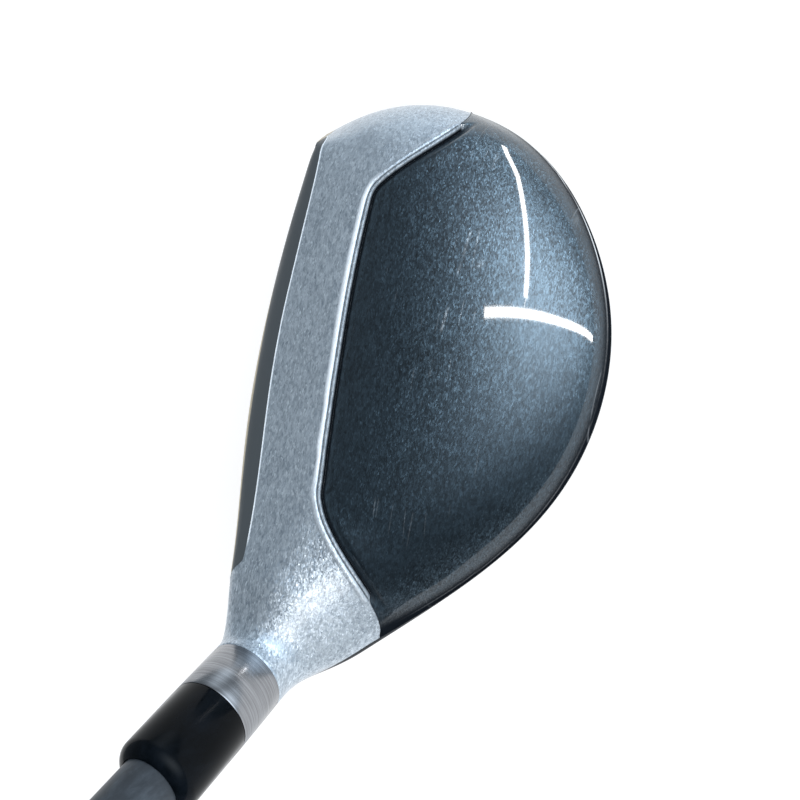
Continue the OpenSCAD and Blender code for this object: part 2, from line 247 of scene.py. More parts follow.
@dataclass
class HeadSkin:
    """The head's outer surface.

    A place on it is (t, q). t runs from the toe edge of the face, 0, to the top of the
    neck, 9. q runs round a section: 0 top edge of the face, 1 ridge of the crown, 2 rim,
    3 keel, 4 leading edge, and 5 the top edge again. Its own sizes are in millimetres from
    the foot of the shaft axis, and its points come out in metres in the frame.

    Attributes:
        axis: the shaft axis.
        neck_radius, neck_top: of the neck's end circle, the latter up the axis.
        loft: lean of the face, in radians.
        lip, roll: reach of the rolled top edge over the crown and down the face, as q.
        crown_rise: how much flatter than its chord the crown arrives at its ridge.
        crown_full, crown_fall, skirt_fall, sole_full: lengths of the sections' handles.
        neck_from: where the sections start to turn into the neck.
        bow_over, roll_over: how far from the toe the face's bow fades and its roll grows.
        crown_fairing, sole_fairing: how widely each is smoothed, as q.
        fairing_edge: where the smoothing's outermost samples stand in its window.
        last: the neck's end.
        edge, ridge, rim, keel: points of each rail, from the toe to the heel.
        lead_heights: heights of the leading edge's points, whose places follow the loft.
        toe_round, heel_tuck: how the leading edge turns in at its two ends.
        rails: the five rails with the neck's end, made from these.
    """

    axis: ShaftAxis
    neck_radius: float = 6.7
    neck_top: float = 40.2
    loft: float = math.radians(20)
    lip: float = 0.1756
    roll: float = 0.06
    crown_rise: float = 0.1
    crown_full: float = 1.45
    crown_fall: float = 1.5
    skirt_fall: float = 1.4
    sole_full: float = 1.3
    neck_from: float = 6.5
    bow_over: float = 3.5
    roll_over: float = 1.5
    crown_fairing: float = 0.34
    sole_fairing: float = 0.3
    fairing_edge: float = 0.86
    last: float = 9.0
    edge: Sequence[tuple] = (
        (-70, -9.5, 31.5), (-69, -9.4, 32.1), (-67.2, -9.7, 32.7), (-62.8, -9.9, 33.2),
        (-55.2, -10.5, 33.6), (-45, -11.1, 33.8), (-32, -11.4, 33.9), (-16, -10.4, 34.2),
        (3.5, -6.8, 34.2),
    )
    ridge: Sequence[tuple] = (
        (-73.2, -11, 26.8), (-74.6, -5, 29), (-73.8, 1, 31.3), (-69, 5.5, 33.6),
        (-59, 8.8, 35.2), (-45, 10.3, 35.9), (-28.5, 10, 36), (-12, 7, 36), (3, 2.5, 36.4),
    )
    rim: Sequence[tuple] = (
        (-74.9, -13.4, 19.5), (-80.2, -4.5, 19.5), (-82.4, 8.8, 20), (-77.1, 25.4, 19.5),
        (-64.8, 37.3, 18.5), (-45.8, 45.7, 18), (-23.7, 44.1, 18), (-5.1, 33.2, 19),
        (13.7, 13.8, 24.5),
    )
    keel: Sequence[tuple] = (
        (-75.2, -16, 11), (-76.6, -8, 5.6), (-75.5, 0, 2.5), (-70, 6, 1.2), (-59, 9.5, 0.6),
        (-45, 11, 0.5), (-28, 10.5, 0.5), (-8, 7.5, 1.8), (21, 0, 9),
    )
    lead_heights: Sequence[float] = (5.8, 4.4, 3.6, 3.1, 2.8, 2.7, 2.8, 3.7, 9.0)
    toe_round: float = 1.2
    heel_tuck: float = 0.62
    rails: list[np.ndarray] = field(init=False)

    def __post_init__(self) -> None:
        """Joins each rail to its point on the neck's end circle."""
        lead = []
        for i, (point, z) in enumerate(zip(self.edge, self.lead_heights)):
            tuck = self.heel_tuck if i == len(self.edge) - 1 else 1.0
            lead.append((
                point[0] - (self.toe_round if i == 0 else 0.0),
                point[1] - (point[2] - z) * math.tan(self.loft) * tuck,
                z,
            ))
        ends = (180, 90, 0, -90, -135)
        rails = (self.edge, self.ridge, self.rim, self.keel, lead)
        self.rails = [np.vstack([np.array(r, float), self._neck_point(a)])
                      for r, a in zip(rails, ends)]
        self._toe = self._section(np.zeros(1))

    def _neck_point(self, degrees: float) -> np.ndarray:
        """A point of the neck's end circle.

        Args:
            degrees: its angle, where 0 is to the rear and 90 towards the toe.

        Returns:
            The point, in millimetres from the foot.
        """
        a = math.radians(degrees)
        side = math.cos(a) * np.array([0, 1.0, 0]) + math.sin(a) * self.axis.top_side
        return self.neck_top * self.axis.along + self.neck_radius * side

    def _section(self, t: np.ndarray) -> Section:
        """Corners and handles of the sections.

        Args:
            t: places along the head.

        Returns:
            The sections, one for each place.
        """
        e, r, m, k, l = (spline(rail, t) for rail in self.rails)
        w = rise(t, self.neck_from, self.last - self.neck_from)[..., None]
        up, rear, top = np.array([0, 0, 1.0]), np.array([0, 1.0, 0]), self.axis.top_side
        c90 = self.neck_radius * 4 * math.tan(math.radians(22.5))
        c45 = self.neck_radius * 4 * math.tan(math.radians(11.25))
        chord, back, slant = unit(flat(m - e)), unit(flat(l - m)), (top - rear) / math.sqrt(2)
        slope = (r - e)[..., 2:] / np.maximum(length(flat(r - e)), 1e-6) - self.crown_rise
        crest = chord + slope * up
        crown_drop, skirt_drop = (np.abs(b - a)[..., 2:] * up for a, b in ((r, m), (m, k)))
        leaving = [
            blend((r - e) + self.crown_rise * length(r - e) * up, c90 * top, w),
            blend(self.crown_full * length(flat(m - r)) * crest, c90 * rear, w),
            blend(-self.skirt_fall * skirt_drop, -c90 * top, w),
            blend(length(l - k) * back, -c45 * rear, w),
            blend(e - l, c45 * slant, w),
        ]
        reaching = [
            blend(length(r - e) * crest, c90 * rear, w),
            blend(-self.crown_fall * crown_drop, -c90 * top, w),
            blend(self.sole_full * length(flat(k - m)) * back, -c90 * rear, w),
            blend(l - k, c45 * slant, w),
            blend(e - l, c45 * top, w),
        ]
        return Section(
            corners=np.stack([e, r, m, k, l, e]), leaving=np.stack(leaving),
            reaching=np.stack(reaching), neck_share=ease(t - (self.last - 1))[..., None],
            bow_share=(1 - ease(t / self.bow_over))[..., None],
            roll_share=ease(t / self.roll_over)[..., None],
        )

    def _bowed(self, section: Section, q: np.ndarray) -> np.ndarray:
        """The section with the face's lines bowed towards the toe.

        Args:
            section: the sections.
            q: places round them, whose last axis is the columns.

        Returns:
            A point for each q, in millimetres from the foot.
        """
        toe = self._toe
        bow = toe.plain(np.clip(20 - 4 * q, 0, 5)) - toe.plain(q)
        return section.plain(q) + np.where((q > 4)[..., None], section.bow_share * bow, 0)

    def _raw(self, section: Section, q: np.ndarray) -> np.ndarray:
        """The bowed section, rolled from face to crown and turned into the neck's cylinder.

        Args:
            section: the sections.
            q: places round them, whose last axis is the columns.

        Returns:
            A point for each q, in millimetres from the foot.
        """
        q = np.where(q < 0, q + 5, np.where(q > 5, q - 5, q))
        p = self._bowed(section, q)
        u = np.where(q > 4, q - 5 + self.roll, q + self.roll) / (self.roll + self.lip)
        inside = ((u >= 0) & (u <= 1))[..., None]
        if inside.any():
            v, columns = np.clip(u, 0, 1)[..., None], section.corners.shape[1]
            start = self._bowed(section, np.full(columns, 5 - self.roll))
            end = section.plain(np.full(columns, self.lip))
            rolled = (1 - v) ** 2 * start + 2 * v * (1 - v) * section.corners[0] + v * v * end
            p = np.where(inside, blend(p, rolled, section.roll_share), p)
        a = np.radians(np.where(q < 3, 180 - 90 * q, 45 - 45 * q))[..., None]
        side = np.cos(a) * np.array([0, 1.0, 0]) + np.sin(a) * self.axis.top_side
        neck = (p @ self.axis.along)[..., None] * self.axis.along + self.neck_radius * side
        return blend(p, neck, section.neck_share)

    def millimetres(self, t: np.ndarray, q: np.ndarray) -> np.ndarray:
        """Points of the skin in millimetres from the foot, with the ridge and keel faired.

        Args:
            t: places along the head, one for each column.
            q: places round the section, whose last axis is the columns.

        Returns:
            A point for each q.
        """
        section = self._section(np.asarray(t, float))
        crown = np.clip((q - self.lip) / (2 - self.lip), 0, 1)
        sole = np.clip((q - 2) / 2, 0, 1)
        reach = (self.crown_fairing * np.sin(np.pi * crown) ** 2
                 + self.sole_fairing * np.sin(np.pi * sole) ** 2)
        steps = np.linspace(-self.fairing_edge, self.fairing_edge, 7)
        weights = (1 - steps**2) ** 2
        total = sum(w * self._raw(section, q + reach * s) for s, w in zip(steps, weights))
        return total / weights.sum()

    def normals(self, t: np.ndarray, q: np.ndarray) -> np.ndarray:
        """Outward unit normals of the skin.

        Args:
            t: places along the head, one for each column.
            q: places round the section, whose last axis is the columns.

        Returns:
            A normal for each place.
        """
        low, high = np.maximum(t - NUDGE, 0), np.minimum(t + NUDGE, self.last)
        along = self.millimetres(high, q) - self.millimetres(low, q)
        around = self.millimetres(t, q + NUDGE) - self.millimetres(t, q - NUDGE)
        return unit(np.cross(along, around))

    def points(self, t: np.ndarray, q: np.ndarray, height: np.ndarray | float = 0.0) -> np.ndarray:
        """Points in metres in the frame, raised off the skin.

        Args:
            t: places along the head, one for each column.
            q: places round the section, whose last axis is the columns.
            height: how far out of the skin, in millimetres.

        Returns:
            A point for each place.
        """
        p = self.millimetres(t, q)
        height = np.broadcast_to(height, p.shape[:-1])
        if np.any(height):
            p = p + height[..., None] * self.normals(t, q)
        return p * MM + self.axis.foot


@dataclass(frozen=True)
class Seams:
    """Lines on the head where one piece hands over to the next, as q at a place t.

    Attributes:
        lip: width of the face's lip; lip_heel and lip_toe are what it grows by at its ends.
        lip_from, lip_over: where it starts to grow to the heel, and how far from the toe.
        rim, lead: the crown's lower edge and the sole's front edge.
        keel_side: how far the rim turns under at the neck.
        gap: what two edges leave between them.
        face_heel, face_end: where the face starts to close at the heel, and its end.
        toe_wall, toe_close: the face's return round the toe, and where its corner is full.
        last: the neck's end.
        panel_toe, panel_heel: the panel's two tips.
        toe_run, middle_run: the panel's two front edges, as the terms of a parabola in t,
            about toe_middle and run_middle.
        heel_turn, heel_bend: where the latter starts to bend down at the heel, and how fast.
        run_corner: how tight the turn between the two is.
        step_toe, step_heel: ends of the step; toe_rise and heel_rise are how fast it grows.
        crowding: how much closer the panel's columns stand at its tips.
    """

    lip: float = 0.1756
    lip_from: float = 5.2
    lip_heel: float = 0.21
    lip_toe: float = 0.45
    lip_over: float = 1.9
    rim: float = 2.0
    lead: float = 3.8
    keel_side: float = 0.6
    gap: float = 0.004
    face_heel: float = 7.95
    face_end: float = 8.5
    toe_wall: float = 0.28
    toe_close: float = 0.8
    last: float = 9.0
    panel_toe: float = 2.225
    panel_heel: float = 7.86
    toe_run: tuple = (1.8062, -0.9683, 0.1476)
    toe_middle: float = 2.415
    middle_run: tuple = (0.7675, 0.0082, 0.0491)
    run_middle: float = 5.0
    heel_turn: float = 6.953
    heel_bend: float = 0.9811
    run_corner: float = 45.0
    step_toe: float = 2.72
    step_heel: float = 7.66
    toe_rise: float = 0.06
    heel_rise: float = 0.04
    crowding: float = 0.4

    def lip_edge(self, t: np.ndarray) -> np.ndarray:
        """Width of the lip behind the face, which grows towards the toe and the heel.

        Args:
            t: places along the head.

        Returns:
            The width at each place, as q.
        """
        heel = np.maximum(0, t - self.lip_from) / (self.face_heel - self.lip_from)
        toe = np.maximum(0, 1 - (t - self.toe_wall) / self.lip_over)
        return self.lip + self.lip_heel * heel**2 + self.lip_toe * toe**3

    def _heel_share(self, t: np.ndarray) -> np.ndarray:
        """How far the seams have turned from the panel's heel into the neck."""
        return rise(t, self.panel_heel, self.last - self.panel_heel)

    def lower_rim(self, t: np.ndarray) -> np.ndarray:
        """Edge between the crown and the skirt."""
        return self.rim + self.keel_side * self._heel_share(t)

    def lower_lead(self, t: np.ndarray) -> np.ndarray:
        """Edge between the sole and the face."""
        return (4 - self.gap - (4 - self.lead) * ease(t / self.toe_close)
                - (self.keel_side - 4 + self.lead) * self._heel_share(t))

    def front(self, t: np.ndarray) -> np.ndarray:
        """Edge between the face's lip and the crown.

        Args:
            t: places along the head.

        Returns:
            The edge at each place, as q.
        """
        opened = np.minimum(1, t / self.toe_wall)
        return blend(self.gap + self.lip_edge(np.maximum(t, self.toe_wall)) * opened,
                     self.lower_lead(t) - 5 + 2 * self.gap,
                     rise(t, self.face_heel, self.face_end - self.face_heel))

    def panel(self, t: np.ndarray) -> np.ndarray:
        """Front edge of the rear crown panel: two runs with a tight turn between them.

        Args:
            t: places along the head.

        Returns:
            The edge at each place, as q.
        """
        def run(terms: tuple, start: float) -> np.ndarray:
            """One run, a parabola about its start."""
            u = t - start
            return terms[0] + terms[1] * u + terms[2] * u**2

        k, turned = self.run_corner, np.maximum(0, t - self.heel_turn)
        middle = run(self.middle_run, self.run_middle) + self.heel_bend * turned**2
        q = np.log(np.exp(k * run(self.toe_run, self.toe_middle)) + np.exp(k * middle)) / k
        return np.minimum(q, self.rim)

    def step_share(self, t: np.ndarray) -> np.ndarray:
        """Where the step beside the panel stands, 1, and where the paint runs on flush, 0."""
        return rise(t, self.step_toe, self.toe_rise) * fade(t, self.step_heel, self.heel_rise)

    def panel_stations(self, count: int) -> np.ndarray:
        """Places along the panel, closer towards its two tips.

        Args:
            count: how many.

        Returns:
            The places, as t.
        """
        even = np.linspace(0, 1, count)
        v = self.crowding * (1 - np.cos(math.pi * even)) / 2 + (1 - self.crowding) * even
        return self.panel_toe + (self.panel_heel - self.panel_toe) * v

    def beside_panel(self, skin: HeadSkin, t: np.ndarray,
                     distance: np.ndarray | float) -> tuple[np.ndarray, np.ndarray]:
        """Moves the panel's edge line sideways over the skin.

        Args:
            skin: the head's surface.
            t: places along the edge.
            distance: how far to move towards the front crown, in millimetres.

        Returns:
            The moved places, as t and q.
        """
        q = self.panel(t)
        p = skin.millimetres(t, q)
        side = np.cross(unit(np.gradient(p, axis=0)), skin.normals(t, q))
        p_t = (skin.millimetres(t + NUDGE, q) - skin.millimetres(t - NUDGE, q)) / (2 * NUDGE)
        p_q = (skin.millimetres(t, q + NUDGE) - skin.millimetres(t, q - NUDGE)) / (2 * NUDGE)
        a, b, c = (p_t * p_t).sum(-1), (p_t * p_q).sum(-1), (p_q * p_q).sum(-1)
        x, y = (p_t * side).sum(-1) * distance, (p_q * side).sum(-1) * distance
        det = np.maximum(a * c - b * b, 1e-6)
        moved_t = t + (c * x - b * y) / det
        moved_q = np.minimum(q + (a * y - b * x) / det, self.rim)
        moved_q[[0, -1]] = self.rim
        reached = np.maximum.accumulate(np.concatenate([[-1.0], moved_t[:-1]]))
        kept = moved_t > reached + 1e-4
        kept[-1] = True
        place = np.arange(len(t))
        even = np.interp(place, place[kept], moved_t[kept])
        return even, np.interp(even, moved_t[kept], moved_q[kept])


# ---------------------------------------------------------------- modelling helpers


def deselect() -> None:
    """Leaves edit mode and selects nothing."""
    if bpy.context.mode != "OBJECT":
        bpy.ops.object.mode_set(mode="OBJECT")
    bpy.ops.object.select_all(action="DESELECT")


def name_active(name: str) -> bpy.types.Object:
    """Names the primitive that was just added.

    Args:
        name: its name.

    Returns:
        The primitive.
    """
    piece = bpy.context.active_object
    piece.name = piece.data.name = name
    return piece


def make_active(piece: bpy.types.Object) -> None:
    """Selects one piece alone and makes it the active one.

    Args:
        piece: the piece.
    """
    deselect()
    piece.select_set(True)
    bpy.context.view_layer.objects.active = piece


def grid_piece(name: str, points: np.ndarray, **marks: np.ndarray) -> bpy.types.Object:
    """A sheet of quads through a field of points.

    Args:
        name: the piece's name.
        points: rows by columns by three, in metres; the sheet's front is on the side of
            the cross product of the column and row directions.
        **marks: values at the points for the piece's material, one attribute each.

    Returns:
        The new piece.
    """
    deselect()
    rows, columns = points.shape[:2]
    bpy.ops.mesh.primitive_grid_add(x_subdivisions=columns - 1, y_subdivisions=rows - 1, size=1)
    piece = name_active(name)
    places = np.empty(len(piece.data.vertices) * 3)
    piece.data.vertices.foreach_get("co", places)
    places = places.reshape(-1, 3)
    column = np.rint((places[:, 0] + 0.5) * (columns - 1)).astype(int)
    row = np.rint((places[:, 1] + 0.5) * (rows - 1)).astype(int)
    piece.data.vertices.foreach_set("co", points[row, column].astype(float).ravel())
    for mark, values in marks.items():
        layer = piece.data.attributes.new(mark, "FLOAT", "POINT")
        values = np.broadcast_to(values, (rows, columns))
        layer.data.foreach_set("value", values[row, column].astype(np.float32))
    piece.data.update()
    return piece


def weld(piece: bpy.types.Object) -> None:
    """Merges the vertices of a piece that lie together.

    Args:
        piece: the piece.
    """
    make_active(piece)
    bpy.ops.object.mode_set(mode="EDIT")
    bpy.ops.mesh.select_all(action="SELECT")
    bpy.ops.mesh.remove_doubles(threshold=WELD)
    bpy.ops.object.mode_set(mode="OBJECT")


def join(name: str, *pieces: bpy.types.Object) -> bpy.types.Object:
    """Joins pieces into the first one and merges what meets.

    Args:
        name: the joined piece's name.
        *pieces: the pieces.

    Returns:
        The first piece, with the others in it.
    """
    make_active(pieces[0])
    for piece in pieces[1:]:
        piece.select_set(True)
    bpy.ops.object.join()
    pieces[0].name = pieces[0].data.name = name
    weld(pieces[0])
    return pieces[0]


def thicken(piece: bpy.types.Object, wall: float, back: bpy.types.Object | None = None) -> None:
    """Gives a sheet a wall behind its front.

    Args:
        piece: the sheet.
        wall: the wall's thickness, in metres.
        back: a sheet with as many points, which the wall's inside takes its shape from.
    """
    make_active(piece)
    count = len(piece.data.vertices)
    shell = piece.modifiers.new("wall", "SOLIDIFY")
    shell.thickness, shell.offset = wall, -1
    bpy.ops.object.modifier_apply(modifier=shell.name)
    if back:
        for inner, place in zip(piece.data.vertices[count:2 * count], back.data.vertices):
            inner.co = place.co
        make_active(back)
        bpy.ops.object.delete()
        weld(piece)


def select_open_edges() -> None:
    """Goes into edit mode on the active piece and selects the edges with one face only."""
    bpy.ops.object.mode_set(mode="EDIT")
    bpy.ops.mesh.select_mode(type="EDGE")
    bpy.ops.mesh.select_all(action="DESELECT")
    bpy.ops.mesh.select_non_manifold(extend=False, use_wire=False, use_multi_face=False,
                                     use_non_contiguous=False, use_verts=False)


def round_edges(piece: bpy.types.Object, width: float) -> None:
    """Bevels the sharp edges of a piece.

    Args:
        piece: the piece.
        width: the bevel's width, in metres.
    """
    make_active(piece)
    bevel = piece.modifiers.new("round", "BEVEL")
    bevel.width, bevel.segments = width, 3
    bevel.limit_method, bevel.angle_limit = "ANGLE", math.radians(40)
    bpy.ops.object.modifier_apply(modifier=bevel.name)


def shade(piece: bpy.types.Object, degrees: float) -> None:
    """Shades a piece smooth, except over edges sharper than the given angle."""
    make_active(piece)
    bpy.ops.object.shade_smooth_by_angle(angle=math.radians(degrees))


def lathe(name: str, profile: Sequence[tuple[float, float]], place: Matrix) -> bpy.types.Object:
    """Turns a closed profile about the upright axis and puts it in its place.

    Args:
        name: the piece's name.
        profile: radius and height pairs in millimetres; the last one joins the first.
        place: where the upright axis goes in the frame.

    Returns:
        The new piece.
    """
    deselect()
    bpy.ops.mesh.primitive_circle_add(vertices=LATHE_STEPS, radius=profile[0][0] * MM)
    piece = name_active(name)
    bpy.ops.object.mode_set(mode="EDIT")
    bpy.ops.mesh.select_all(action="SELECT")
    bpy.ops.transform.translate(value=(0, 0, profile[0][1] * MM))
    for (r0, h0), (r1, h1) in zip(profile, [*profile[1:], profile[0]]):
        shift = {"value": (0, 0, (h1 - h0) * MM)}
        bpy.ops.mesh.extrude_region_move(TRANSFORM_OT_translate=shift)
        bpy.ops.transform.resize(value=(r1 / r0, r1 / r0, 1), center_override=(0, 0, h1 * MM))
    bpy.ops.mesh.select_all(action="SELECT")
    bpy.ops.mesh.remove_doubles(threshold=WELD)
    bpy.ops.mesh.normals_make_consistent(inside=False)
    bpy.ops.object.mode_set(mode="OBJECT")
    piece.matrix_world = place
    bpy.ops.object.transform_apply(location=True, rotation=True, scale=True)
    return piece


def arc(centre: tuple[float, float], radius: float, start: float, stop: float,
        count: int = 6) -> list[tuple[float, float]]:
    """A profile's round corner.

    Args:
        centre: radius and height of its centre.
        radius: its own radius.
        start: the angle it starts at, in degrees from the outward direction.
        stop: the angle it ends at.
        count: steps along it.

    Returns:
        Its points, as radius and height.
    """
    angles = [math.radians(start + (stop - start) * i / count) for i in range(count + 1)]
    return [(centre[0] + radius * math.cos(a), centre[1] + radius * math.sin(a)) for a in angles]


def hand_over(piece: bpy.types.Object, material: bpy.types.Material, slot: Slot,
              *nodes: str) -> bpy.types.Object:
    """Dresses a finished piece, sets it on its body and hides the CAD nodes that it stands for.

    Args:
        piece: the finished piece.
        material: its finish.
        slot: the record's slot of that finish; not used.
        *nodes: the CAD nodes that it replaces.

    Returns:
        The piece.
    """
    piece.data.materials.clear()
    piece.data.materials.append(material)
    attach(piece, "root")
    if nodes:
        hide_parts(*nodes)
    log.info("%s: %d faces, finish %s", piece.name, len(piece.data.polygons), material.name)
    return piece


# ---------------------------------------------------------------- finishes


def feed(tree: bpy.types.NodeTree, socket: bpy.types.NodeSocket, value: object) -> None:
    """Links an input to another node's output, or sets it to a value.

    Args:
        tree: the node tree.
        socket: the input.
        value: the output or the value.
    """
    if isinstance(value, bpy.types.NodeSocket):
        tree.links.new(value, socket)
    else:
        socket.default_value = value


def maths(tree: bpy.types.NodeTree, operation: str, *values: object,
          clamp: bool = False) -> bpy.types.NodeSocket:
    """Adds one step of arithmetic to a node tree.

    Args:
        tree: the node tree.
        operation: what the step does.
        *values: values or outputs, in the order of the node's inputs.
        clamp: whether the result is held between 0 and 1.

    Returns:
        The result's output.
    """
    made = tree.nodes.new("ShaderNodeMath")
    made.operation, made.use_clamp = operation, clamp
    for socket, value in zip(made.inputs, values):
        feed(tree, socket, value)
    return made.outputs["Value"]


def vector_maths(tree: bpy.types.NodeTree, operation: str,
                 *values: object) -> bpy.types.NodeSocket:
    """Adds one step of vector arithmetic to a node tree.

    Args:
        tree: the node tree.
        operation: what the step does.
        *values: vectors or outputs, in the order of the node's inputs; a number is a scale.

    Returns:
        The result's output, a number for a distance or a dot product.
    """
    made = tree.nodes.new("ShaderNodeVectorMath")
    made.operation = operation
    for i, value in enumerate(values):
        feed(tree, made.inputs["Scale" if isinstance(value, float) else i], value)
    return made.outputs["Value" if operation in ("DISTANCE", "DOT_PRODUCT") else "Vector"]


class Tree:
    """A node material while it is put together.

    Attributes:
        material, tree: the material and its node tree.
        shader: its one shader.
    """

    def __init__(self, name: str) -> None:
        """Starts a material with one Principled shader.

        Args:
            name: the material's name.
        """
        self.material = bpy.data.materials.new(name)
        self.material.use_nodes = True
        self.tree = self.material.node_tree
        self.shader = self.tree.nodes["Principled BSDF"]
        self._coords = self.tree.nodes.new("ShaderNodeTexCoord").outputs["Object"]

    def node(self, kind: str, **inputs: object) -> bpy.types.Node:
        """Adds a node.

        Args:
            kind: its type, without the common start.
            **inputs: values or outputs for its inputs, whose names have underscores.

        Returns:
            The node.
        """
        made = self.tree.nodes.new(f"ShaderNode{kind}")
        for name, value in inputs.items():
            feed(self.tree, made.inputs[name.replace("_", " ")], value)
        return made

    def coords(self, scale: tuple = (1, 1, 1), turn: tuple = (0, 0, 0)) -> bpy.types.NodeSocket:
        """Object coordinates, stretched and turned."""
        return self.node("Mapping", Vector=self._coords, Scale=scale,
                         Rotation=turn).outputs["Vector"]

    def noise(self, vector: bpy.types.NodeSocket, scale: float, detail: float = 2,
              roughness: float = 0.5) -> bpy.types.NodeSocket:
        """Smooth noise from 0 to 1."""
        return self.node("TexNoise", Vector=vector, Scale=scale, Detail=detail,
                         Roughness=roughness).outputs["Fac"]

    def cells(self, vector: bpy.types.NodeSocket, scale: float) -> bpy.types.NodeSocket:
        """A random colour for each cell."""
        return self.node("TexVoronoi", Vector=vector, Scale=scale).outputs["Color"]

    def maths(self, operation: str, *values: object, clamp: bool = False) -> bpy.types.NodeSocket:
        """One step of arithmetic on values or sockets."""
        return maths(self.tree, operation, *values, clamp=clamp)

    def vectors(self, operation: str, *values: object) -> bpy.types.NodeSocket:
        """One step of vector arithmetic on values or sockets."""
        return vector_maths(self.tree, operation, *values)

    def ramp(self, value: bpy.types.NodeSocket, low: float, high: float,
             start: float = 0.0, stop: float = 1.0) -> bpy.types.NodeSocket:
        """Maps a value smoothly onto another span, and holds the ends.

        Args:
            value: the value.
            low: where it starts.
            high: where it ends.
            start: the result at low.
            stop: the result at high.

        Returns:
            The result.
        """
        made = self.node("MapRange", Value=value, From_Min=low, From_Max=high, To_Min=start,
                         To_Max=stop)
        made.interpolation_type = "SMOOTHSTEP"
        return made.outputs["Result"]

    def mark(self, name: str) -> bpy.types.NodeSocket:
        """A value stored at the piece's points.

        Args:
            name: the mark's name.

        Returns:
            The value, 0 on a piece that has no such mark.
        """
        made = self.tree.nodes.new("ShaderNodeAttribute")
        made.attribute_name = name
        return made.outputs["Fac"]

    def scratches(self, place: tuple, turn: float) -> bpy.types.NodeSocket:
        """Fine handling scratches, thickest about one place.

        Args:
            place: that place, in metres in the frame.
            turn: the scratches' direction about the upright axis, in radians.

        Returns:
            1 in a scratch and 0 beside it.
        """
        lines = self.node("TexVoronoi", Vector=self.coords(scale=(18, 420, 18), turn=(0, 0, turn)),
                          Scale=1.0)
        lines.feature = "DISTANCE_TO_EDGE"
        line = self.ramp(lines.outputs["Distance"], 0.0, 0.03, 1.0, 0.0)
        patches = self.ramp(self.noise(self.coords(), 130, 2), 0.58, 0.7)
        here = self.ramp(self.vectors("DISTANCE", self._coords, place), 0.006, 0.03, 1.0, 0.25)
        return self.maths("MULTIPLY", self.maths("MULTIPLY", line, patches), here)

    def tint(self, share: bpy.types.NodeSocket, first: tuple | bpy.types.NodeSocket,
             second: tuple | bpy.types.NodeSocket) -> bpy.types.NodeSocket:
        """Mixes two colours.

        Args:
            share: how much of the second colour.
            first: a colour, or an output that gives one.
            second: the other colour.

        Returns:
            The mixed colour.
        """
        made = self.tree.nodes.new("ShaderNodeMix")
        made.data_type = "RGBA"
        feed(self.tree, made.inputs["Factor"], share)
        for name, value in (("A", first), ("B", second)):
            socket = next(s for s in made.inputs if s.name == name and s.type == "RGBA")
            feed(self.tree, socket, (*value, 1) if isinstance(value, tuple) else value)
        return next(s for s in made.outputs if s.type == "RGBA")

    def bump(self, height: bpy.types.NodeSocket, distance: float) -> bpy.types.NodeSocket:
        """A bumped normal, with the relief in metres."""
        return self.node("Bump", Height=height, Distance=distance).outputs["Normal"]

    def finish(self, **inputs: object) -> bpy.types.Material:
        """Sets or links the shader's inputs.

        Args:
            **inputs: values or outputs for them, whose names have underscores.

        Returns:
            The material.
        """
        for name, value in inputs.items():
            feed(self.tree, self.shader.inputs[name.replace("_", " ")],
                 (*value, 1) if isinstance(value, tuple) else value)
        return self.material


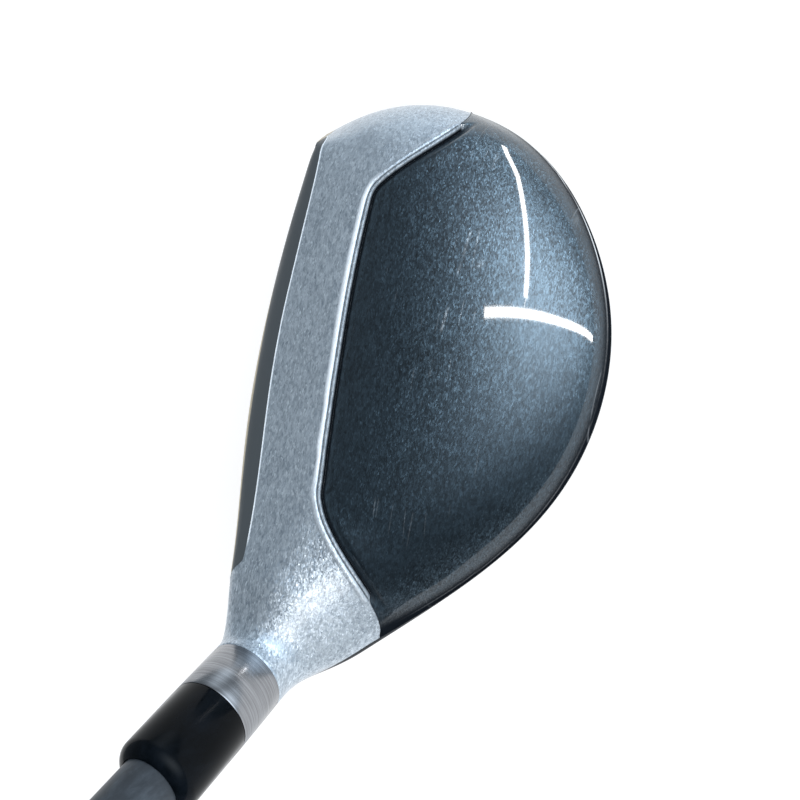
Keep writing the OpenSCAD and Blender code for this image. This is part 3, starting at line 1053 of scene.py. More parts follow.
@dataclass(frozen=True)
class FlakePaint:
    """Metal-flake paint under clear gloss.

    The piece's marks, 0 to 1, say where a highlight is painted on, where shade is painted in
    and where the rim's edge is painted darker in place of a dark reflection.

    Attributes:
        name: the material's name.
        low: colour between the flakes.
        high: colour of the flakes.
        worn: colour of the painted highlights, and of the real scratches.
        dirt: colour of the painted shade and of the rim's painted darkness.
        scratch_place: where its fine scratches are thickest, in metres.
        scratch_turn: their direction, in radians.
        scratch_share: how strongly they show.
        flake: size of a flake, in metres.
        stretch: how much longer than wide a flake is.
        lean: turn of the flakes, in radians.
        fine_share, coarse_share, cloud_share: what single flakes, groups of flakes and
            slow mottling each add to the brightness.
        spark: what the few brightest flakes add.
        tilt: how far flakes lean out of the surface.
        roughness: of the flake layer.
        metallic: of the flake layer.
        highlight_smooth, highlight_dull: what the painted highlights take off the two.
        coat: weight of the clear coat.
        coat_roughness: its roughness, and scratch_rough is what a scratch adds to it.
        specular: the paint's own gloss.
    """

    name: str
    low: tuple
    high: tuple
    worn: tuple = (0.86, 0.92, 0.98)
    dirt: tuple = (0.006, 0.008, 0.011)
    scratch_place: tuple = (0, 0, 0)
    scratch_turn: float = 0.4
    scratch_share: float = 0.35
    flake: float = 0.00017
    stretch: float = 2.6
    lean: float = 0.1
    fine_share: float = 0.45
    coarse_share: float = 0.3
    cloud_share: float = 0.3
    spark: float = 0.5
    tilt: float = 0.3
    roughness: float = 0.42
    metallic: float = 0.8
    highlight_smooth: float = 0.1
    highlight_dull: float = 0.6
    coat: float = 1.0
    coat_roughness: float = 0.05
    scratch_rough: float = 0.3
    specular: float = 0.5

    def build(self) -> bpy.types.Material:
        """The node material."""
        tree = Tree(self.name)
        grain = tree.coords(scale=(1 / self.stretch, 1, 1), turn=(0, 0, self.lean))
        cells = tree.cells(grain, 1 / self.flake)
        groups = tree.cells(grain, 0.4 / self.flake)
        fine = tree.node("SeparateColor", Color=cells).outputs[0]
        coarse = tree.node("SeparateColor", Color=groups).outputs[1]
        cloud = tree.noise(tree.coords(), 60, 3)
        share = tree.maths("MULTIPLY_ADD", fine, self.fine_share,
                           tree.maths("MULTIPLY", coarse, self.coarse_share))
        share = tree.maths("MULTIPLY_ADD", cloud, self.cloud_share, share)
        spark = tree.ramp(fine, 0.955, 0.985)
        share = tree.maths("ADD", share, tree.maths("MULTIPLY", spark, self.spark), clamp=True)
        tilt = tree.vectors("SCALE", tree.vectors("SUBTRACT", cells, (0.5, 0.5, 0.5)), self.tilt)
        facing = tree.node("NewGeometry").outputs["Normal"]
        normal = tree.vectors("NORMALIZE", tree.vectors("ADD", facing, tilt))
        # The marks paint light and shade into the colour: painted highlights, painted shade, and
        # the rim's edge painted darker in place of a dark reflection; the scratches are real wear.
        worn, dirt, edge = (tree.mark(name) for name in ("worn", "dirt", "edge"))
        scratch = tree.scratches(self.scratch_place, self.scratch_turn)
        paint = tree.tint(share, self.low, self.high)
        for part, colour in ((worn, self.worn), (dirt, self.dirt), (edge, self.dirt),
                             (tree.maths("MULTIPLY", scratch, self.scratch_share), self.worn)):
            paint = tree.tint(part, paint, colour)
        # Where shade is painted, the gloss is taken off too, so nothing is mirrored there.
        gloss = tree.maths("SUBTRACT", 1.0, tree.maths("MAXIMUM", edge, dirt))
        metallic = tree.maths("MULTIPLY_ADD", worn, -self.highlight_dull, self.metallic)
        return tree.finish(
            Base_Color=paint, Normal=normal, Metallic=tree.maths("MULTIPLY", gloss, metallic),
            Roughness=tree.maths("MULTIPLY_ADD", worn, -self.highlight_smooth, self.roughness),
            Specular_IOR_Level=tree.maths("MULTIPLY", gloss, self.specular),
            Coat_Weight=tree.maths("MULTIPLY", gloss, self.coat),
            Coat_Roughness=tree.maths("MULTIPLY_ADD", scratch, self.scratch_rough,
                                      self.coat_roughness))


@dataclass(frozen=True)
class GrainedMetal:
    """Bare or painted metal with fine grain, blasted, brushed or turned.

    Attributes:
        name: the material's name.
        low: colour in the grain's valleys.
        high: colour on its ridges.
        stretch: scale of the grain along each axis, per metre.
        turn: turn of the grain's axes, in radians.
        relief: depth of the grain, in metres.
        roughness: least and greatest roughness.
        metallic: 1 for bare metal.
        specular: gloss of what isn't metal.
        strip: colour where the piece's strip mark is 1, or none where it has no strip.
        strip_dull: what the strip takes off metallic.
        dirt: colour of the painted shade in cut lines, and shade_share is how strongly it shows.
        grain_share: how much the grain counts in the colour, beside slow wear.
    """

    name: str
    low: tuple
    high: tuple
    stretch: tuple = (2500, 2500, 2500)
    turn: tuple = (0, 0, 0)
    relief: float = 0.00001
    roughness: tuple[float, float] = (0.28, 0.42)
    metallic: float = 1.0
    specular: float = 0.5
    strip: tuple | None = None
    strip_dull: float = 0.7
    dirt: tuple = (0.02, 0.02, 0.02)
    shade_share: float = 0.8
    grain_share: float = 0.7

    def build(self) -> bpy.types.Material:
        """The node material."""
        tree = Tree(self.name)
        along = tree.node("Mapping", Vector=tree.coords(turn=self.turn), Scale=self.stretch)
        grain = tree.noise(along.outputs["Vector"], 1, 4, 0.6)
        wear = tree.noise(tree.coords(), 90, 5, 0.65)
        share = tree.maths("MULTIPLY_ADD", grain, self.grain_share,
                           tree.maths("MULTIPLY", wear, 1 - self.grain_share))
        colour, metallic = tree.tint(tree.ramp(share, 0.3, 0.7), self.low, self.high), self.metallic
        if self.strip:
            strip = tree.mark("strip")
            colour = tree.tint(strip, colour, self.strip)
            # Painted shade in the cut lines.
            colour = tree.tint(tree.maths("MULTIPLY", tree.mark("dirt"), self.shade_share),
                               colour, self.dirt)
            metallic = tree.maths("MULTIPLY_ADD", strip, -self.strip_dull, self.metallic)
        return tree.finish(Base_Color=colour, Roughness=tree.ramp(wear, 0.3, 0.7, *self.roughness),
                           Normal=tree.bump(grain, self.relief), Metallic=metallic,
                           Specular_IOR_Level=self.specular)


@dataclass(frozen=True)
class Moulded:
    """Plastic, rubber or lacquer with faint mottling, rubs and fine relief.

    Attributes:
        name: the material's name.
        low: darker colour.
        high: lighter colour.
        size: size of the relief, in metres.
        relief: its depth, in metres.
        roughness: least and greatest roughness.
        specular: its gloss.
    """

    name: str
    low: tuple
    high: tuple
    size: float = 0.0006
    relief: float = 0.00001
    roughness: tuple[float, float] = (0.3, 0.45)
    specular: float = 0.5

    def build(self) -> bpy.types.Material:
        """The node material."""
        tree = Tree(self.name)
        pores = tree.noise(tree.coords(), 1 / self.size, 3)
        rubs = tree.noise(tree.coords(scale=(1, 1, 0.35), turn=(0, 0.5, 0.3)), 220, 6, 0.7)
        return tree.finish(Base_Color=tree.tint(tree.ramp(rubs, 0.35, 0.7), self.low, self.high),
                           Roughness=tree.ramp(rubs, 0.35, 0.7, *self.roughness),
                           Normal=tree.bump(pores, self.relief),
                           Specular_IOR_Level=self.specular)


class Finishes:
    """Every finish of the club, each made once.

    Attributes:
        silver, dark, sole, face, plate: of the head.
        band, ferrule, shaft, grip: of what is on the shaft axis.
        ledge, weight, pin, tape: of the CAD pieces inside.
    """

    def __init__(self) -> None:
        """Builds the materials; turned grain runs round the leaning shaft axis."""
        lean = (0, -math.radians(30), 0)
        self.silver = FlakePaint("silver_flake_paint", (0.16, 0.205, 0.26), (0.78, 0.87, 0.95),
                                 roughness=0.44, flake=0.00016, tilt=0.34, coat=0.6,
                                 coat_roughness=0.14).build()
        self.dark = FlakePaint("dark_flake_paint", (0.003, 0.006, 0.009), (0.066, 0.105, 0.14),
                               metallic=0.92, roughness=0.36, flake=0.00015, tilt=0.32, spark=0.3,
                               scratch_place=(0.008, -0.002, 0.035)).build()
        self.sole = GrainedMetal("sole_satin_paint", (0.006, 0.008, 0.011), (0.014, 0.018, 0.024),
                                 metallic=0.0, roughness=(0.45, 0.6), specular=0.15).build()
        self.face = GrainedMetal("face_blasted_steel", (0.4, 0.35, 0.25), (0.62, 0.56, 0.43),
                                 stretch=(3500, 3500, 3500), relief=0.000015,
                                 roughness=(0.36, 0.48), strip=(0.085, 0.096, 0.104)).build()
        self.plate = GrainedMetal("plate_brushed_steel", (0.42, 0.42, 0.43), (0.66, 0.66, 0.67),
                                  stretch=(120, 5000, 5000)).build()
        self.band = GrainedMetal("band_turned_steel", (0.2, 0.205, 0.215), (0.38, 0.39, 0.41),
                                 stretch=(60, 60, 4200), turn=lean, relief=0.000004,
                                 roughness=(0.16, 0.26)).build()
        self.ferrule = Moulded("ferrule_black_gloss", (0.001, 0.002, 0.003), (0.004, 0.006, 0.009),
                               roughness=(0.08, 0.22), relief=0.000002, specular=0.08).build()
        self.shaft = Moulded("shaft_slate_lacquer", (0.04, 0.046, 0.054), (0.085, 0.1, 0.118),
                             roughness=(0.34, 0.44), relief=0.000004, specular=0.2).build()
        self.grip = Moulded("grip_black_rubber", (0.008, 0.008, 0.009), (0.02, 0.02, 0.021),
                            size=0.0004, relief=0.00003, roughness=(0.65, 0.85),
                            specular=0.3).build()
        self.ledge = GrainedMetal("ledge_plain_metal", (0.35, 0.35, 0.36), (0.5, 0.5, 0.51)).build()
        self.weight = GrainedMetal("weight_cast_metal", (0.12, 0.12, 0.12), (0.24, 0.24, 0.24),
                                   relief=0.00004, roughness=(0.5, 0.7)).build()
        self.pin = GrainedMetal("pin_turned_brass", (0.6, 0.42, 0.14), (0.85, 0.64, 0.28),
                                stretch=(60, 60, 3000), turn=lean).build()
        self.tape = Moulded("tape_paper", (0.55, 0.5, 0.4), (0.68, 0.64, 0.54), size=0.0003,
                            relief=0.00003, roughness=(0.8, 0.95)).build()


# ---------------------------------------------------------------- head


@dataclass
class Head:
    """The hollow head: front crown, rear panel, sole shell, face and sole plate.

    Sizes are in millimetres, and places along the head are given as t.

    Attributes:
        skin, seams, finishes: the head's surface, its seams and the club's finishes.
        crown_wall, sole_wall, face_wall, neck_wall, panel_wall: walls behind the skin.
        lap_depth: how far the face's return has its full wall from the toe, as t.
        strip_border_t, strip_border_q: lower border of the strip along the face's top.
        border_soft: over what that border fades, as q.
        lip_profile: the paint's edge at the face: distance over the crown, and rise as a
            share of paint_step, the paint's own height there.
        lip_highlight: how bright each row of that edge is painted as a highlight.
        lip_highlight_end, lip_highlight_fade: how far before the face's heel that painted highlight
            is gone,
        and over what stretch it goes.
        toe_columns, heel_columns, front_rows: the front crown's grid beside the step's columns.
        heel_crowding: power that spreads the heel's columns.
        panel_recess: how far the panel is sunk.
        rim_blend: how near the rim it comes up again, as q.
        panel_clearance: gap between the panel and the step.
        panel_lift: what it is sunk by where the paint runs on flush.
        panel_rows, panel_crowding: its rows, and the power that crowds them to its front.
        broad_toe, broad_heel: stretches at the step's ends over which the panel's middle
            comes up to flush, from broad_from off the step, over broad_over.
        trough_depth, trough_width: of the trough behind the step.
        tip_start, tip_over: how near its two tips the panel is painted darker, and over what.
        tip_shade, shade_reach, edge_reach: how dark that painted shade is there, and how far the
        painted shade runs from the step and the painted darkness from the rim's line.
        flush_edge: distance of the front crown's edge from the panel's line there.
        flush_lap: how much nearer the panel's edge is to its line there.
        row_gap: what keeps the step's rows apart there.
        bead_highlight, bead_calm: where the bead's painted highlight grows and where it calms down,
        each as a start and a stretch.
        calm_share: what is left of it then.
        flush_shade: share of the step's painted shade that stays where the paint runs on flush.
        step_columns, panel_columns: how many columns run along the step and the panel.
        tip_width: narrowest column of the panel, as q.
        rim_line: distance from the rim of the line that is painted as a highlight.
        line_half: half that line's width.
        line_height: how far it is raised.
        line_fade, line_left: where it fades to the heel, and what is left of it.
        neck_sink: how far the painted neck's end is sunk.
        neck_edge: how near its end it sinks, as t.
        step_profile: the step's rows: distance from the panel's line, rise, brightness of
        the painted highlight and darkness of the painted shade.
        sole_joints, sole_columns, sole_rows: the sole's grid.
        face_columns, face_rows, face_break: the face's grid, with closer rows past the break.
        face_stop: how far before its closing point at the heel its last column is.
        lap_columns: columns of the face's return.
        wall_places: where the face's wall changes, as a share of the way up.
        wall_from: where the face's wall starts to thin to the neck's.
        score_pitch, score_half, score_depth, score_count: the score lines.
        score_flat, score_end: their flat floor, as a share, and the length of their ends.
        score_low, score_toe, score_heel: the lowest one's height, and where they all end.
        plate_corner, plate_edge: radii of the plate's corners and of its edge.
    """

    skin: HeadSkin
    seams: Seams
    finishes: Finishes
    crown_wall: float = 1.2
    sole_wall: float = 1.6
    face_wall: float = 2.2
    neck_wall: float = 0.9
    panel_wall: float = 0.6
    lap_depth: float = 0.6
    strip_border_t: Sequence[float] = (0.0, 4.6, 5.2, 6.4, 7.4, 8.0, 8.4)
    strip_border_q: Sequence[float] = (-0.1, -0.06, 0.0, 0.045, 0.06, 0.1, 0.2)
    border_soft: float = 0.02
    paint_step: float = 0.22
    lip_profile: Sequence[tuple] = (
        (0.0, -1.0), (0.03, -0.45), (0.08, 0.05), (0.15, 0.22), (0.24, 0.16), (0.34, 0.04),
        (0.46, 0.0),
    )
    lip_highlight: Sequence[float] = (0.0, 0.8, 1.0, 1.0, 1.0, 0.8, 0.0)
    lip_highlight_end: float = 0.05
    lip_highlight_fade: float = 0.15
    toe_columns: int = 26
    heel_columns: int = 50
    front_rows: int = 84
    heel_crowding: float = 0.9
    panel_recess: float = 0.6
    rim_blend: float = 0.4
    panel_clearance: float = 0.1
    panel_lift: float = 0.02
    panel_rows: int = 120
    panel_crowding: float = 1.35
    broad_toe: float = 0.9
    broad_heel: float = 0.7
    broad_from: float = 0.3
    broad_over: float = 1.6
    trough_depth: float = 0.22
    trough_width: float = 0.7
    tip_start: float = 0.1
    tip_over: float = 0.35
    tip_shade: float = 0.45
    shade_reach: float = 1.5
    edge_reach: float = 3.6
    flush_edge: float = 0.7
    flush_lap: float = 0.08
    row_gap: float = 0.008
    step_columns: int = 240
    panel_columns: int = 280
    tip_width: float = 0.02
    rim_line: float = 1.7
    line_half: float = 0.22
    line_height: float = 0.05
    line_fade: tuple[float, float] = (5.0, 0.6)
    line_left: float = 0.15
    bead_highlight: tuple[float, float] = (3.3, 0.5)
    bead_calm: tuple[float, float] = (6.6, 0.7)
    calm_share: float = 0.35
    flush_shade: float = 0.3
    neck_sink: float = 0.16
    neck_edge: float = 0.03
    step_profile: Sequence[tuple] = (
        (1.9, 0.0, 0, 0), (1.75, 0.01, 0.2, 0), (1.55, 0.07, 0.7, 0), (1.35, 0.14, 1, 0),
        (1.15, 0.17, 1, 0), (0.98, 0.15, 1, 0), (0.86, 0.09, 0.7, 0), (0.76, 0.0, 0, 0.4),
        (0.7, -0.07, 0, 0.8), (0.65, -0.1, 0, 0.9), (0.6, -0.07, 0, 0.8), (0.55, 0.0, 0, 0.45),
        (0.45, 0.02, 0, 0.35), (0.3, 0.01, 0, 0.35), (0.18, -0.05, 0, 0.4), (0.08, -0.2, 0, 0.7),
        (0.02, -0.42, 0, 1), (0.0, -0.85, 0, 1),
    )
    sole_joints: tuple[float, float] = (2.4, 7.0)
    sole_columns: tuple[int, int, int] = (60, 90, 60)
    sole_rows: int = 110
    face_columns: tuple[int, int, int] = (36, 70, 30)
    face_rows: tuple[int, int] = (250, 60)
    face_break: float = 0.76
    face_stop: float = 0.02
    lap_columns: int = 9
    wall_places: Sequence[float] = (0, 0.15, 0.75, 1)
    wall_from: float = 7.2
    score_pitch: float = 3.1
    score_half: float = 0.38
    score_depth: float = 0.28
    score_count: int = 8
    score_low: float = 6.6
    score_toe: float = -61.0
    score_heel: float = -13.0
    score_flat: float = 0.35
    score_end: float = 0.8
    plate_corner: float = 5.0
    plate_edge: float = 0.3

    def _mm_to_q(self, t: np.ndarray, q: np.ndarray) -> np.ndarray:
        """Change of q that moves one millimetre round the section."""
        span = length(self.skin.millimetres(t, q + NUDGE) - self.skin.millimetres(t, q - NUDGE))
        return 2 * NUDGE / np.maximum(span[..., 0], 1e-4)

    def _neck_height(self, t: np.ndarray) -> np.ndarray:
        """Height off the skin of the painted shells, whose end at the band is sunk."""
        return -self.neck_sink * rise(t, self.seams.last - self.neck_edge, self.neck_edge)

    def _front_sheet(self) -> bpy.types.Object:
        """Front crown from the face's lip to the step."""
        seams, skin = self.seams, self.skin
        start_t, start_q = seams.beside_panel(skin, seams.panel_stations(self.step_columns),
                                              self.step_profile[0][0])
        toe = np.linspace(seams.toe_wall, start_t[0], self.toe_columns)[:-1]
        heel = np.linspace(0, 1, self.heel_columns)[1:] ** self.heel_crowding
        heel = start_t[-1] + (seams.last - start_t[-1]) * heel
        t = np.concatenate([toe, start_t, heel])
        stop = np.concatenate([np.full(len(toe), seams.rim), start_q, seams.lower_rim(heel)])
        front = seams.front(t)
        per_mm = self._mm_to_q(t, front)
        rows_q = [front + d * per_mm for d, _ in self.lip_profile]
        rows_h = [np.full(len(t), h * self.paint_step) for _, h in self.lip_profile]
        share = np.linspace(0, 1, self.front_rows)[1:]
        rows_q += [blend(rows_q[-1], stop, s) for s in share]
        rows_h += [np.zeros(len(t)) for _ in share]
        # A painted highlight along the paint's edge at the face, fading out before the face's heel.
        worn = np.zeros((len(rows_q), len(t)))
        highlight_left = fade(t, seams.face_heel - self.lip_highlight_end, self.lip_highlight_fade)
        worn[:len(self.lip_highlight)] = np.array(self.lip_highlight)[:, None] * highlight_left
        height = np.array(rows_h) + self._neck_height(t)
        return grid_piece("crown_front", skin.points(t, np.array(rows_q), height), worn=worn,
                          dirt=np.zeros(1))

    def _step_sheet(self) -> bpy.types.Object:
        """The step beside the panel, with its bead and its fine groove."""
        seams, skin = self.seams, self.skin
        edge_t = seams.panel_stations(self.step_columns)
        # A painted highlight on the bead's crest, and painted shade in the groove and beside the
        # panel.
        strip, worn, dirt = [], [], []
        step = seams.step_share(edge_t)
        calm = blend(1, self.calm_share, rise(edge_t, *self.bead_calm))
        bead_shine = step * rise(edge_t, *self.bead_highlight) * calm
        for below, (distance, height, bright, dark) in zip(
                reversed(range(len(self.step_profile))), self.step_profile):
            beyond = np.maximum(distance, self.flush_edge * (1 - step) + self.row_gap * below)
            row_t, row_q = seams.beside_panel(skin, edge_t, beyond)
            strip.append(skin.points(row_t, row_q, height * step))
            worn.append(bright * bead_shine)
            dirt.append(dark * blend(self.flush_shade, 1, step))
        return grid_piece("bead", np.array(strip), worn=np.array(worn), dirt=np.array(dirt))

    def build_crown_front(self) -> bpy.types.Object:
        """Silver front crown, with a raised bead and a fine groove along its step."""
        piece = join("crown_front", self._front_sheet(), self._step_sheet())
        thicken(piece, self.crown_wall * MM)
        shade(piece, 50)
        return hand_over(piece, self.finishes.silver, Slot.SILVER, "crown_front")

    def build_crown_panel(self) -> bpy.types.Object:
        """Dark rear panel, sunk at its front edge and flush with the skirt at the rim."""
        seams, skin = self.seams, self.skin
        t = seams.panel_stations(self.panel_columns)[1:-1]
        step = seams.step_share(t)
        clear = blend(self.flush_edge - self.flush_lap, -self.panel_clearance, step)
        near_t, near_q = seams.beside_panel(skin, t, clear)
        near_t = np.clip(near_t, t[0], t[-1])
        open_up = near_q < seams.rim - self.tip_width
        t, step, near_t, near_q = (v[open_up] for v in (t, step, near_t, near_q))
        share = np.linspace(0, 1, self.panel_rows) ** self.panel_crowding
        q = np.array([blend(near_q, np.full_like(near_q, seams.rim), s) for s in share])
        p = skin.millimetres(near_t, q)
        line = skin.millimetres(t, seams.panel(t))
        away = np.stack([np.sqrt(((row[:, None] - line[None]) ** 2).sum(-1)).min(1) for row in p])
        broad = (rise(t, seams.step_toe, self.broad_toe)
                 * fade(t, seams.step_heel, self.broad_heel))
        recess = self.panel_recess * (1 - ease((q - seams.rim + self.rim_blend) / self.rim_blend))
        recess = (recess * blend(step, broad, rise(away, self.broad_from, self.broad_over))
                  + (1 - step) * self.panel_lift)
        trough = (self.trough_depth * (1 - ease(away / self.trough_width)) * recess
                  / self.panel_recess)
        to_rim = length(p - skin.millimetres(near_t, np.full_like(q, seams.rim)))[..., 0]
        # A fine line near the rim, raised a little and painted as a highlight.
        line_in = 1 - ease(np.abs(to_rim - self.rim_line) / self.line_half)
        tip = 1 - (ease((t - t[0] - self.tip_start) / self.tip_over)
                   * ease((t[-1] - self.tip_start - t) / self.tip_over))
        line_in *= (1 - tip) * blend(1, self.line_left, rise(t, *self.line_fade))
        height = -recess - trough + self.line_height * line_in
        # Painted shade beside the step and at the panel's two tips, and the rim's edge painted
        # darker in place of a dark reflection.
        dirt = np.maximum((1 - ease(away / self.shade_reach)) * step, self.tip_shade * tip)
        edge = (1 - rise(to_rim, self.rim_line, self.edge_reach)) * (1 - line_in)
        piece = grid_piece("crown_panel", skin.points(near_t, q, height), dirt=dirt,
                           worn=line_in, edge=edge)
        thicken(piece, self.panel_wall * MM)
        shade(piece, 50)
        return hand_over(piece, self.finishes.dark, Slot.DARK, "crown_panel")

    def build_sole_shell(self) -> bpy.types.Object:
        """Sole and skirt, up to the underside of the neck."""
        seams, skin = self.seams, self.skin
        t = joined_stations((seams.toe_wall, *self.sole_joints, seams.last), self.sole_columns)
        top, bottom = seams.lower_rim(t) + seams.gap, seams.lower_lead(t) - seams.gap
        share = (1 - np.cos(np.linspace(0, math.pi, self.sole_rows))) / 2
        q = top + (bottom - top) * share[:, None]
        piece = grid_piece("sole_shell", skin.points(t, q, self._neck_height(t)))
        thicken(piece, self.sole_wall * MM)
        shade(piece, 50)
        return hand_over(piece, self.finishes.sole, Slot.SOLE, "sole_shell")

    def _score_depth(self, p: np.ndarray) -> np.ndarray:
        """Depth of the score lines.

        Args:
            p: points of the face, in millimetres from the foot.

        Returns:
            The depth at each point, in millimetres.
        """
        place = (p[..., 2] - self.score_low) / self.score_pitch
        nearest = np.clip(np.rint(place), 0, self.score_count - 1)
        off = np.abs(place - nearest) * self.score_pitch / self.score_half
        groove = 1 - rise(off, self.score_flat, 1 - self.score_flat)
        ends = (rise(p[..., 0], self.score_toe, self.score_end)
                * fade(p[..., 0], self.score_heel, self.score_end))
        return self.score_depth * groove * ends

    def build_face_cup(self) -> bpy.types.Object:
        """Face with its score lines, rolled lip and returned edges."""
        seams, skin = self.seams, self.skin
        t_lap = np.linspace(seams.toe_wall - seams.gap, 0, self.lap_columns)[:-1]
        t_face = joined_stations((0, 1, seams.face_heel, seams.face_end - self.face_stop),
                                 self.face_columns)
        share = joined_stations((0, self.face_break, 1), self.face_rows)[:, None]
        low, high = seams.lower_lead(t_face), seams.front(t_face) + 5
        q_face = low + (high - low) * share
        q_lap = np.clip(20 - 4 * q_face[:, :1], seams.front(t_lap), seams.lower_lead(t_lap))
        t = np.concatenate([t_lap, t_face])
        q = np.concatenate([q_lap, q_face], axis=1)
        depth = np.where(q > 4, self._score_depth(skin.millimetres(t, q)), 0)
        border = np.interp(t, self.strip_border_t, self.strip_border_q)
        strip = rise(q - 5, border, self.border_soft) * np.where(t > 0, 1, 0)
        # Painted shade in the score lines, as deep as they are cut.
        dirt = ease(depth / self.score_depth)
        piece = grid_piece("face_cup", skin.points(t, q, -depth), strip=strip, dirt=dirt)
        wall = np.interp(share, self.wall_places,
                         (self.sole_wall, self.face_wall, self.face_wall, self.crown_wall))
        wall = blend(wall, self.neck_wall, rise(t, self.wall_from, seams.face_end - self.wall_from))
        inside = skin.points(np.maximum(t, self.lap_depth), q, -wall)
        column = np.argmax(t_face >= self.lap_depth) + len(t_lap)
        lap = skin.points(np.full(len(t), t_lap[0]), np.repeat(q_lap[:, :1], len(t), axis=1))
        reach = np.clip(t / self.lap_depth, 0, 1)
        reach[:len(t_lap)] = 0
        inside = np.where((t < self.lap_depth)[:, None], inside[:, column, None], inside)
        inside = blend(lap, inside, reach[:, None])
        thicken(piece, self.face_wall * MM, grid_piece("inside", inside))
        shade(piece, 45)
        return hand_over(piece, self.finishes.face, Slot.FACE, "face_cup")

    def build_sole_plate(self) -> bpy.types.Object:
        """Flat plate let into the sole, with rounded corners and a soft edge."""
        low, high = (np.array(v, float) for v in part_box("sole_plate"))
        deselect()
        bpy.ops.mesh.primitive_cube_add(size=1)
        piece = name_active("sole_plate")
        bpy.ops.object.mode_set(mode="EDIT")
        bpy.ops.mesh.select_all(action="SELECT")
        bpy.ops.transform.resize(value=tuple(high - low), center_override=(0, 0, 0))
        bpy.ops.transform.translate(value=tuple((high + low) / 2))
        bpy.ops.mesh.select_mode(type="EDGE")
        bpy.ops.mesh.select_all(action="DESELECT")
        bpy.ops.object.mode_set(mode="OBJECT")
        for edge in piece.data.edges:
            a, b = (piece.data.vertices[i].co for i in edge.vertices)
            edge.select = abs(a.z - b.z) > 1e-6
        bpy.ops.object.mode_set(mode="EDIT")
        bpy.ops.mesh.bevel(offset=self.plate_corner * MM, segments=12)
        bpy.ops.object.mode_set(mode="OBJECT")
        round_edges(piece, self.plate_edge * MM)
        shade(piece, 35)
        return hand_over(piece, self.finishes.plate, Slot.PLATE, "sole_plate")

    def build(self) -> None:
        """Builds the head's five pieces."""
        self.build_crown_front()
        self.build_crown_panel()
        self.build_sole_shell()
        self.build_face_cup()
        self.build_sole_plate()


# ---------------------------------------------------------------- hosel, shaft and grip


